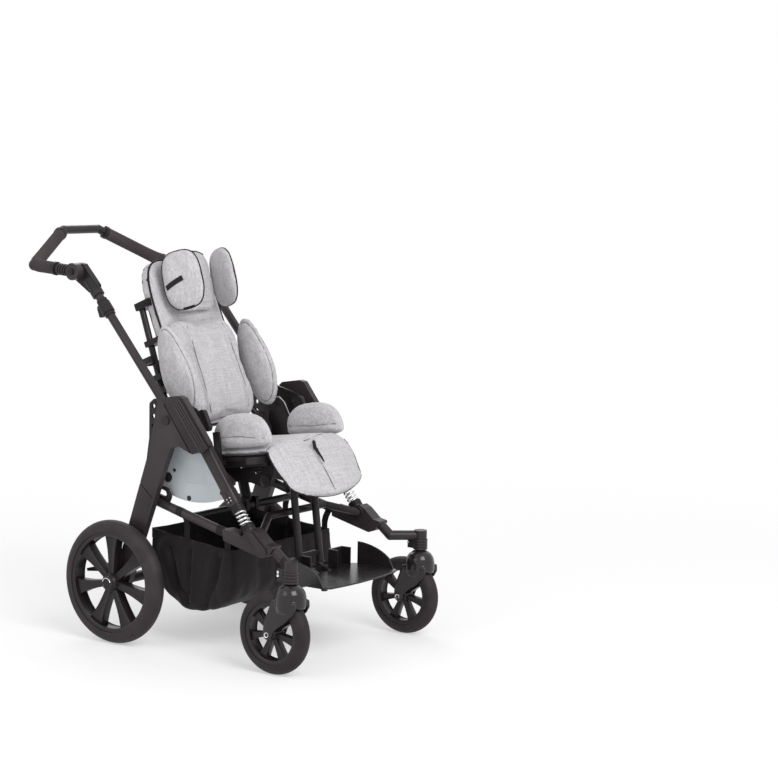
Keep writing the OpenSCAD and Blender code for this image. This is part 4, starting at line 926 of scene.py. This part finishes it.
# cloth basket: a bag that hangs on straps from the lower tubes, with a rim tape, pleats and slack folds
basketPlan = {"halfWidth": 0.190, "rimRear": (0.049025, 0.276), "long": 0.245, "fall": 0.026, "depth": 0.172,
              "across": 33, "along": 56, "down": 14, "thick": 0.0022, "bulge": 0.008, "sag": 0.006, "tapeHigh": 0.022,
              "tapeThick": 0.0032, "tapeOut": 0.0016, "tapeDroop": 0.005, "tapeSteps": 24, "pleat": 0.0022,
              "pleatStep": 0.062, "fold": 0.0062, "crease": 0.0085, "strapAt": (0.098, 0.226), "strapWide": 0.018,
              "strapDown": 0.082, "strapLoop": 0.0114, "strapThick": 0.0007}
basketCreases = (((-0.070, 0.252), (-0.071, 0.2), (-0.068, 0.135)),
                 ((-0.1646, 0.240), (-0.153, 0.179), (-0.114, 0.106)),
                 ((-0.010, 0.235), (-0.030, 0.17), (-0.062, 0.115)))
rimRear = Vector(basketPlan["rimRear"])
rimRun = Vector((-basketPlan["long"], -basketPlan["fall"]))


# the bag's floor line from the rear of the rim to the front, slackened to a curve
def basketProfile():
    a, b, d = rimRear, rimRear + rimRun, basketPlan["depth"]
    corners = [a, a + Vector((-0.010, -d * 0.84)), a + Vector((-0.120, -d - 0.026)), b + Vector((-0.002, -d * 0.74)), b]
    line = [p.lerp(q, k / 40) for p, q in zip(corners[:-1], corners[1:]) for k in range(40)] + [b]
    for _ in range(160):
        line[1:-1] = [(p + q * 2 + r) / 4 for p, q, r in zip(line[:-2], line[1:-1], line[2:])]
    last = basketPlan["along"] - 1
    return [line[round(i * (len(line) - 1) / last)] for i in range(last + 1)]


def basketSkin():
    w, across, down = (basketPlan[k] for k in ("halfWidth", "across", "down"))
    profile = basketProfile()
    bm = bmesh.new()
    floor = [[bm.verts.new((-w + 2 * w * i / (across - 1), *p)) for i in range(across)] for p in profile]
    bridgeRows(bm, floor, False)
    for side, column in ((-1, 0), (1, across - 1)):
        rows = []
        for j, p in enumerate(profile):
            top = profile[0].lerp(profile[-1], j / (len(profile) - 1))
            rows.append([bm.verts.new((side * w, *top.lerp(p, k / down))) for k in range(down)] + [floor[j][column]])
        for r, s in zip(rows[:-1], rows[1:]):
            for k in range(down):
                corner = (r[k], r[k + 1], s[k + 1], s[k])
                if len({v.co.to_tuple(6) for v in corner}) > 2:
                    bm.faces.new(corner)
    bmesh.ops.remove_doubles(bm, verts=bm.verts, dist=0.0002)
    return newObject("basketBag", meshFrom(bm, "basketBag"))


def slackBasket(obj):
    co, no = readPoints(obj), readPoints(obj, "normal")
    no = no * np.sign(np.einsum("ij,ij->i", no, co - co.mean(axis=0)))[:, None]
    rimZ = rimRear.y + (co[:, 1] - rimRear.x) * basketPlan["fall"] / basketPlan["long"]
    drop = np.clip((rimZ - co[:, 2]) / basketPlan["depth"], 0, 1)
    upright = 1 - np.abs(no[:, 2])
    out = basketPlan["bulge"] * np.sin(np.pi * np.clip(drop * 1.1, 0, 1)) * upright
    out -= basketPlan["sag"] * 0.3 * (1 - upright)
    sideways = np.where(np.abs(no[:, 0]) > 0.6, co[:, 1], co[:, 0])
    pleats = np.abs(np.sin(sideways * math.pi / basketPlan["pleatStep"])) ** 6
    out -= basketPlan["pleat"] * pleats * upright * np.clip(drop * 4, 0, 1)
    slack = np.array([noise.noise(Vector((y * 16 + z * 9, z * 5 - y * 6, x * 9))) for x, y, z in co])
    crumple = np.array([noise.noise(Vector(p) * 38) for p in co])
    out += basketPlan["fold"] * (slack + 0.35 * crumple) * np.clip(drop * 3, 0, 1)
    fade = np.clip(np.abs(co[:, 0]) / 0.12 - 0.6, 0, 1)
    for path in basketCreases:  # long creases that drop from the rim down each side
        away = distanceTo(co[:, 1:], path)
        ridge = np.exp(-(away / 0.0075) ** 2) - 0.55 * np.exp(-((away - 0.02) / 0.014) ** 2)
        out -= fade * basketPlan["crease"] * ridge
    setPoints(obj, co + no * out[:, None])


basketBag = basketSkin()
free = basketBag.vertex_groups.new(name="free")
rimLine = rimRun.normalized()
for v in basketBag.data.vertices:
    off = (v.co.y - rimRear.x) * -rimLine.y + (v.co.z - rimRear.y) * rimLine.x
    free.add([v.index], min(max(abs(off) / 0.03 - 0.2, 0), 1), "REPLACE")
modify(basketBag, "SMOOTH", factor=0.5, iterations=6, vertex_group="free")
modify(basketBag, "SUBSURF", levels=1, render_levels=1)
slackBasket(basketBag)
bagArea = sum(p.area for p in basketBag.data.polygons)
modify(basketBag, "SOLIDIFY", thickness=basketPlan["thick"], offset=0)
dress(basketBag, basketCloth, "front_arm", 60)
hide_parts("basket")


# flat webbing from rows of points
def webbingSheet(name, bm, rows, thick):
    bridgeRows(bm, rows, False)
    return modify(newObject(name, meshFrom(bm, name)), "SOLIDIFY", thickness=thick, offset=0)


# rim tape round the mouth of the bag
def rimTape():
    high, out, steps = (basketPlan[k] for k in ("tapeHigh", "tapeOut", "tapeSteps"))
    w, rear = basketPlan["halfWidth"] + out, rimRear + Vector((out, 0))
    front = rear + rimRun - Vector((2 * out, 0))
    corners = [Vector((x, *p)) for x, p in ((-w, rear), (w, rear), (w, front), (-w, front))]
    bm = bmesh.new()
    rows = []
    for a, b in zip(corners, corners[1:] + corners[:1]):
        for k in range(steps):
            p = a.lerp(b, k / steps) - Vector((0, 0, basketPlan["tapeDroop"] * math.sin(math.pi * k / steps)))
            rows.append([bm.verts.new(p + Vector((0, 0, z))) for z in (0.002, -high / 2, -high)])
    tape = webbingSheet("basketRim", bm, rows + rows[:1], basketPlan["tapeThick"])
    return softEdges(tape, 0.0008, 2, 30)


basketRim = dress(rimTape(), webbing, "front_arm", 40)


# straps that loop over the lower tubes and are sewn to the sides of the bag
def basketStrap(name, side, distance):
    base = sideAt(side * sidePlan["tubeX"], sidePlan["latch"]) + armDir * distance
    turns = [math.radians(-70 + 300 * i / 14) for i in range(15)]
    path = [(basketPlan["strapLoop"] * math.cos(a), basketPlan["strapLoop"] * math.sin(a)) for a in turns]
    inner = sidePlan["tubeX"] - basketPlan["halfWidth"] - 0.0022
    path += [(-inner + 0.004, -0.022), (-inner, -0.034), (-inner, -basketPlan["strapDown"])]
    bm = bmesh.new()
    rows = [[bm.verts.new(base + Vector((side * x, 0, z)) + armDir * basketPlan["strapWide"] * k) for k in (0, 0.5, 1)]
            for x, z in path]
    return webbingSheet(name, bm, rows, basketPlan["strapThick"])


for side, word in bothSides:
    for end, distance in zip(("Rear", "Front"), basketPlan["strapAt"]):
        dress(basketStrap("basketStrap" + word + end, side, distance), webbing, "front_arm", 40)
for piece in [basketBag, basketRim]:
    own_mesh(piece)
print("basket ready, cloth area", round(bagArea, 4))

# moulded wheels: a deep rim band, flared spokes with a sunk face, and a hub
rearWheel = {"x": 0.267, "radius": 0.122, "width": 0.046, "hub": 0.022, "spokes": 7, "root": 0.0165, "tip": 0.042,
             "deep": 0.026, "edge": 0.0011, "sink": 0.0016, "border": 0.0034, "bore": 0.0061}
casterWheel = {"x": 0.263, "radius": 0.0725, "width": 0.040, "hub": 0.015, "spokes": 7, "root": 0.0112, "tip": 0.0225,
               "deep": 0.020, "edge": 0.00075, "sink": 0.0011, "border": 0.0022, "bore": 0.0051}


def flaredSpoke(plan, turn):
    inner, outer = plan["hub"] - 0.004, plan["radius"] - 0.0045
    outline = []
    for k in [i / 8 for i in range(9)]:
        flare = k ** 2.4
        outline.append((plan["root"] / 2 * (1 - flare) + plan["tip"] / 2 * flare, inner + (outer - inner) * k))
    outline += [(-half, r) for half, r in reversed(outline)]
    spoke = slabPiece("spoke", outline, (-plan["deep"] / 2, plan["deep"] / 2))
    for facing in (-1, 1):
        sinkFaces(spoke, facing, plan["border"], plan["sink"])
    softEdges(spoke, plan["edge"], 2, 50)
    spoke.data.transform(Matrix.Rotation(turn, 4, "X"))
    return spoke


def mouldedWheel(name, plan, centre):
    r, w, hub, bore = (plan[k] for k in ("radius", "width", "hub", "bore"))
    bandLine = [(r - 0.0098, -w * 0.37), (r - 0.006, -w * 0.42), (r - 0.0002, -w * 0.42), (r - 0.0002, w * 0.42),
                (r - 0.006, w * 0.42), (r - 0.0098, w * 0.37), (r - 0.0078, w * 0.30), (r - 0.0066, w * 0.1),
                (r - 0.0066, -w * 0.1), (r - 0.0078, -w * 0.30)]
    hubLine = [(bore, -w / 2 + 0.002), (hub - 0.002, -w / 2 + 0.002), (hub, -w / 2 + 0.004), (hub, w / 2 - 0.006),
               (hub - 0.001, w / 2 - 0.002), (hub - 0.003, w / 2), (bore, w / 2)]
    pieces = [lathe("band", bandLine, Vector(), 96), lathe("hub", hubLine, Vector(), 56)]
    pieces += [flaredSpoke(plan, 2 * math.pi * i / plan["spokes"]) for i in range(plan["spokes"])]
    wheel = joined(pieces, name)
    wheel.data.transform(Matrix.Translation(centre))
    return smooth(wheel, 32)


rearCentre = sideAt(rearWheel["x"], jointPos["rear_wheel_left_spin"].yz)
casterCentre = sideAt(casterWheel["x"], jointPos["caster_left_roll"].yz)
rearLeft = mouldedWheel("rearRimLeft", rearWheel, rearCentre)
casterLeft = mouldedWheel("casterRimLeft", casterWheel, casterCentre)
for wheel, body, node in ((rearLeft, "rear_wheel_", "rear_rim_"), (casterLeft, "caster_wheel_", "caster_rim_")):
    for obj, word in ((wheel, "left"), (smooth(mirrored(wheel), 32), "right")):
        dress(obj, rimPlastic, body + word)
        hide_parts(node + word)

# hub caps of the rear wheels, with a bright steel arc on the face, a painted highlight where the curved cap catches the
# light
hubCap = {"profile": ((0.0, 0.0), (0.0185, 0.0), (0.0173, 0.0035), (0.0135, 0.0068), (0.0105, 0.0070), (0.0095, 0.0056),
                      (0.0, 0.0056)), "sunk": 0.0006, "arcOut": 0.0062, "arcRadius": 0.0125, "arcWire": 0.0011}
wheelFace = rearCentre + Vector((rearWheel["width"] / 2, 0, 0))
capLeft = smooth(lathe("hubCapLeft", hubCap["profile"], wheelFace - Vector((hubCap["sunk"], 0, 0)), 48), 30)
# the arc is a painted highlight: a bright steel wire laid on the cap face
arcTurns = [math.radians(-75 + 15 * i) for i in range(11)]
arcPoints = [wheelFace + Vector((hubCap["arcOut"], -hubCap["arcRadius"] * math.sin(a),
                                 hubCap["arcRadius"] * math.cos(a))) for a in arcTurns]
highlightArcLeft = tubeAlong("hubArcLeft", arcPoints, hubCap["arcWire"])
for piece, mat in ((capLeft, rimPlastic), (highlightArcLeft, steelBright)):
    for obj, word in ((piece, "left"), (smooth(mirrored(piece), 30), "right")):
        dress(obj, mat, "rear_wheel_" + word)
print("wheels ready")

# caster forks: a smooth domed hood that runs down into two broad blades
forkPlan = {"x": 0.263, "y": -0.425975, "top": 0.215, "trail": 0.044, "axle": 0.0965, "bladeIn": 0.0232,
            "bladeThick": 0.0068, "bladeEdge": 0.0024, "space": 0.1005, "voxel": 0.0021, "relax": 5, "stem": 0.007,
            "stemLong": 0.040, "axleRadius": 0.0048, "axleHalf": 0.033}
axleAt = Vector((forkPlan["x"], forkPlan["y"] + forkPlan["trail"], forkPlan["axle"]))
bladeOut = forkPlan["bladeIn"] + forkPlan["bladeThick"]


def rod(radius, low, high):
    return [(0.0, low), (radius, low), (radius, high), (0.0, high)]


def forkShell(name):
    base = Vector((forkPlan["x"], forkPlan["y"], forkPlan["top"]))
    upAxis, wheelHalf = (0, 0, 1), forkPlan["bladeIn"]
    dome = lathe("dome", [(0.0, 0.0), (0.0155, 0.0), (0.0195, -0.003), (0.0275, -0.0085), (0.0335, -0.018),
                          (0.0365, -0.031), (0.0372, -0.047), (0.0345, -0.062), (0.0, -0.062)], base, 64, upAxis)
    space = lathe("space", rod(forkPlan["space"], -wheelHalf, wheelHalf), axleAt, 96)
    modify(dome, "BOOLEAN", operation="DIFFERENCE", object=space)
    bpy.data.objects.remove(space)
    pieces = [dome]
    drop = forkPlan["top"] - forkPlan["axle"]
    side = [(-0.033, -0.036), (-0.034, -0.052), (-0.026, -0.066), (-0.008, -0.082), (0.012, -0.097), (0.0275, -0.110),
            (0.0315, -drop - 0.004), (0.037, -drop - 0.0115), (0.044, -drop - 0.0138), (0.051, -drop - 0.0115),
            (0.0565, -drop - 0.003), (0.057, -0.105), (0.0535, -0.088), (0.047, -0.070), (0.0395, -0.052),
            (0.034, -0.036)]
    outline = [(base.y + y, base.z + z) for y, z in side]
    for out in (-1, 1):
        blade = slabPiece("blade", outline, (base.x + out * wheelHalf, base.x + out * bladeOut))
        pieces.append(softEdges(blade, forkPlan["bladeEdge"]))
    stemLine, stemAt = rod(forkPlan["stem"], 0.0, forkPlan["stemLong"]), base - Vector((0, 0, 0.004))
    axleLine = rod(forkPlan["axleRadius"], -forkPlan["axleHalf"], forkPlan["axleHalf"])
    pieces += [lathe("stem", stemLine, stemAt, 32, upAxis), lathe("axle", axleLine, axleAt, 32)]
    shell = modify(joined(pieces, name), "REMESH", mode="VOXEL", voxel_size=forkPlan["voxel"])
    return smooth(modify(shell, "SMOOTH", factor=0.5, iterations=forkPlan["relax"]), 60)


forkLeft = forkShell("casterForkLeft")
for obj, word in ((forkLeft, "left"), (smooth(mirrored(forkLeft), 60), "right")):
    dress(obj, forkGloss, "caster_" + word)
    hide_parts("caster_fork_" + word)
print("forks ready")


# round-head bolts: a turned head with a socket
def boltHead(name, place, axis, radius, height):
    return turnedKnob(name, place, axis, radius, height, height * 0.35, dish=0.5, dishDepth=height * 0.4, sides=24)


boltPlan = {"axle": 0.0062, "axleHigh": 0.0034, "proud": 0.0012, "lock": 0.0032, "lockHigh": 0.002, "lockOut": 0.0092,
            "lockBack": 0.030, "lockZ": (0.2325, 0.2405)}
for side, word in bothSides:
    x = side * forkPlan["x"]
    bolts = [boltHead("casterBolt", (x + out * (bladeOut + boltPlan["proud"]), *axleAt.yz), (out, 0, 0),
                      boltPlan["axle"], boltPlan["axleHigh"]) for out in (-1, 1)]
    dress(joined(bolts, "casterBolts" + word), steelBright, "caster_" + word.lower())
    dots = [boltHead("headBolt", (x + out * boltPlan["lockOut"], forkPlan["y"] + boltPlan["lockBack"], z), (out, 0, 0),
                     boltPlan["lock"], boltPlan["lockHigh"]) for out in (-side, side) for z in boltPlan["lockZ"]]
    dress(joined(dots, "headBolts" + word), steelBright, "front_arm")

# spring cups: ribbed rubber sleeves above and below the bare middle of each spring
cupPlan = {"radius": 0.0168, "inner": 0.0128, "upper": 0.022, "lower": 0.019, "ribs": 3, "groove": 0.0014,
           "round": 0.0012}


def cupProfile(long):
    r, groove, soft = cupPlan["radius"], cupPlan["groove"], cupPlan["round"]
    pts = [(cupPlan["inner"], 0.0), (cupPlan["inner"], long), (r - soft, long), (r, long - soft)]
    for i in range(cupPlan["ribs"]):
        z = long * (1 - (i + 0.75) / (cupPlan["ribs"] + 0.5))
        pts += [(r, z + 0.0014), (r - groove, z + 0.0006), (r - groove, z - 0.0006), (r, z - 0.0014)]
    return pts + [(r, soft), (r - soft, 0.0)]


for side, word in bothSides:
    top = sideAt(side * sidePlan["tubeX"], sidePlan["downEnd"])
    foot = top + downDir * springPlan["length"]
    upper = lathe("springCupUpper" + word, cupProfile(cupPlan["upper"]), top - downDir * 0.002, 48, downDir)
    lower = lathe("springCupLower" + word, cupProfile(cupPlan["lower"]), foot + downDir * 0.001, 48, -downDir)
    dress(upper, blackPlastic, "main_frame", 30)
    dress(lower, blackPlastic, "front_arm", 30)
print("bolts and cups ready")

# plugs and screws of the side plates
plugPlan = {"x": 0.194, "bore": (0.0, 0.40671), "radius": 0.0121, "height": 0.003, "edge": 0.0009, "dish": 0.0022,
            "screw": (-0.01997, 0.426), "screwRadius": 0.0042, "screwHeight": 0.0026, "screwEdge": 0.0008,
            "screwDish": 0.0014}
for side, word in bothSides:
    plug = turnedKnob("platePlug" + word, sideAt(side * (plugPlan["x"] - 0.0002), plugPlan["bore"]), (side, 0, 0),
                      plugPlan["radius"], plugPlan["height"], plugPlan["edge"], 0.72, plugPlan["dish"])
    small = turnedKnob("plateScrew", sideAt(side * (plugPlan["x"] - 0.0004), plugPlan["screw"]), (side, 0, 0),
                       plugPlan["screwRadius"], plugPlan["screwHeight"], plugPlan["screwEdge"], 0.5,
                       plugPlan["screwDish"], sides=24)
    dress(joined([plug, small], "platePlugs" + word), blackPlastic, "seat_unit")

# bright marks at the lower end of each down tube
markPlan = {"from": 0.012, "step": 0.0075, "beside": 0.0045, "size": 0.0016, "edge": 0.0004, "x": 0.2285}
acrossTube = Vector((0, -downDir.z, downDir.y))
for side, word in bothSides:
    marks = []
    for row in (0, 1):
        at = sideAt(side * markPlan["x"], sidePlan["downEnd"]) - downDir * (markPlan["from"] + markPlan["step"] * row)
        for out in (-1, 1):
            marks.append(turnedKnob("mark", at + acrossTube * out * markPlan["beside"], (side, 0, 0), markPlan["size"],
                                    markPlan["size"], markPlan["edge"], sides=16))
    dress(joined(marks, "tubeMarks" + word), steelBright, "main_frame")

# brake fingers that reach inside the rear rims
fingerPlan = {"pivot": (0.151025, 0.172), "x": (0.2445, 0.2505), "edge": 0.0014}
fingerLine = [Vector(fingerPlan["pivot"]) + Vector(p) for p in
              ((-0.009, 0.004), (-0.002, -0.009), (0.009, -0.007), (0.059, -0.013), (0.061, -0.006), (0.008, 0.009))]
for side, word in bothSides:
    finger = slabPiece("brakeFinger" + word, fingerLine, [side * x for x in fingerPlan["x"]])
    dress(softEdges(finger, fingerPlan["edge"]), blackMetal, "brake", 35)

# side panels of the seat's under-frame, with ribs, bosses and screws
panelPlan = {"x": (0.127, 0.135), "ribs": (0.0, 0.0085, 0.017), "border": 0.005, "sink": 0.0025, "edge": 0.0012,
             "ribEdge": 0.0008, "ribOut": 0.0005, "screws": ((-0.179, 0.4415), (-0.222, 0.4345), (-0.113, 0.421)),
             "screw": (0.0036, 0.0034), "boss": (-0.248, 0.4165), "bossRadius": 0.0135,
             "bossHeight": 0.007, "bossEdge": 0.0015, "bossDish": 0.002}
panelLine = [(-0.072, 0.4435), (-0.253, 0.4700), (-0.266, 0.4660), (-0.270, 0.4300), (-0.262, 0.4080), (-0.246, 0.4000),
             (-0.205, 0.4080), (-0.165, 0.4060), (-0.128, 0.3985), (-0.090, 0.4010), (-0.072, 0.4150)]
ribLine = [(-0.205, 0.4520), (-0.238, 0.4568), (-0.238, 0.4532), (-0.205, 0.4484)]
for side, word in bothSides:
    inner, outer = (side * x for x in panelPlan["x"])
    panel = slabPiece("seatPanel", panelLine, (inner, outer))
    sinkFaces(panel, side, panelPlan["border"], panelPlan["sink"])
    parts = [softEdges(panel, panelPlan["edge"], 2, 40)]
    for drop in panelPlan["ribs"]:
        rib = slabPiece("panelRib", [(y, z - drop) for y, z in ribLine], (inner, outer + side * panelPlan["ribOut"]))
        parts.append(softEdges(rib, panelPlan["ribEdge"], 2, 40))
    parts.append(turnedKnob("panelBoss", sideAt(outer - side * 0.001, panelPlan["boss"]), (side, 0, 0),
                            panelPlan["bossRadius"], panelPlan["bossHeight"], panelPlan["bossEdge"], 0.6,
                            panelPlan["bossDish"]))
    dress(joined(parts, "seatPanel" + word), blackMetal, "seat_unit", 35)
    heads = [boltHead("panelScrew", sideAt(outer - side * 0.0012, p), (side, 0, 0), *panelPlan["screw"])
             for p in panelPlan["screws"] + (panelPlan["boss"],)]
    dress(joined(heads, "panelScrews" + word), steelBright, "seat_unit")
print("small fittings ready")

# stage: pale floor, soft light and the photograph's camera
stagePlan = {"floorSize": 60, "floorColour": (0.93, 0.93, 0.935), "fadeFrom": -1.5, "fadeTo": 2.8, "worldLight": 0.62,
             "lampTarget": (0, 0, 0.5)}
lampPlan = {"keyLamp": {"at": (-1.2, -3.2, 2.9), "size": 2.2, "power": 110},
            "fillLamp": {"at": (-3.4, 0.6, 2.4), "size": 2.2, "power": 26},
            "rimLamp": {"at": (2.2, 2.2, 2.6), "size": 2.0, "power": 30}}
cameraPlan = {"azimuth": -55.44, "elevation": 6.56, "roll": 1.087, "lens": 94.38, "sensor": 36,
              "place": (-3.8772, -3.175075, 1.1856)}
white = (1, 1, 1, 1)


def makeFloor():
    deselectAll()
    bpy.ops.mesh.primitive_plane_add(size=stagePlan["floorSize"])
    floor = bpy.context.object
    floor.name = "floor"
    mat, tree, shader, coords = newFinish("paleFloor")
    setSockets(tree, shader, {"Base Color": (*stagePlan["floorColour"], 1), "Roughness": 0.9,
                              "Specular IOR Level": 0.1})
    away = addNode(tree, "VectorMath", {0: coords}, operation="LENGTH").outputs["Value"]
    fade = addNode(tree, "MapRange", {"From Min": stagePlan["fadeFrom"], "From Max": stagePlan["fadeTo"],
                                      "Value": away})
    glow = addNode(tree, "Emission", {"Color": white, "Strength": 1.0})
    mix = addNode(tree, "MixShader", {0: fade.outputs["Result"], 1: shader.outputs["BSDF"],
                                      2: glow.outputs["Emission"]})
    setSockets(tree, tree.nodes["Material Output"], {"Surface": mix.outputs["Shader"]})
    giveMaterial(floor, mat)


# the world lights at its own level and shows as white to the camera and in reflections
def makeWorld():
    scene.world = bpy.data.worlds.new("studio")
    scene.world.use_nodes = True
    tree = scene.world.node_tree
    light = tree.nodes["Background"]
    setSockets(tree, light, {"Color": white, "Strength": stagePlan["worldLight"]})
    seen = addNode(tree, "Background", {"Color": white, "Strength": 1.0})
    rays = addNode(tree, "LightPath", {}).outputs
    bounced = mathOf(tree, "MAXIMUM", rays["Is Glossy Ray"], rays["Is Transmission Ray"])
    anyRay = mathOf(tree, "MAXIMUM", rays["Is Camera Ray"], bounced)
    mix = addNode(tree, "MixShader", {0: anyRay, 1: light.outputs[0], 2: seen.outputs[0]})
    setSockets(tree, tree.nodes["World Output"], {"Surface": mix.outputs[0]})


def areaLamp(name, plan):
    lamp = bpy.data.lights.new(name, "AREA")
    lamp.energy = plan["power"]
    lamp.size = plan["size"]
    obj = newObject(name, lamp)
    obj.location = plan["at"]
    obj.rotation_euler = (Vector(stagePlan["lampTarget"]) - obj.location).to_track_quat("-Z", "Y").to_euler()


def makeCamera():
    a, e, r = (math.radians(cameraPlan[k]) for k in ("azimuth", "elevation", "roll"))
    back = Vector((math.sin(a) * math.cos(e), -math.cos(a) * math.cos(e), math.sin(e)))
    right = Vector((math.cos(a), math.sin(a), 0))
    up = back.cross(right)
    rolled = (math.cos(r) * right + math.sin(r) * up, math.cos(r) * up - math.sin(r) * right, back)
    data = bpy.data.cameras.new("camera")
    data.lens = cameraPlan["lens"]
    data.sensor_width = cameraPlan["sensor"]
    cam = newObject("camera", data)
    cam.matrix_world = Matrix.Translation(cameraPlan["place"]) @ Matrix(rolled).transposed().to_4x4()
    scene.camera = cam


makeFloor()
makeWorld()
for name, plan in lampPlan.items():
    areaLamp(name, plan)
makeCamera()
scene.view_settings.view_transform = "Standard"
print("stage ready")
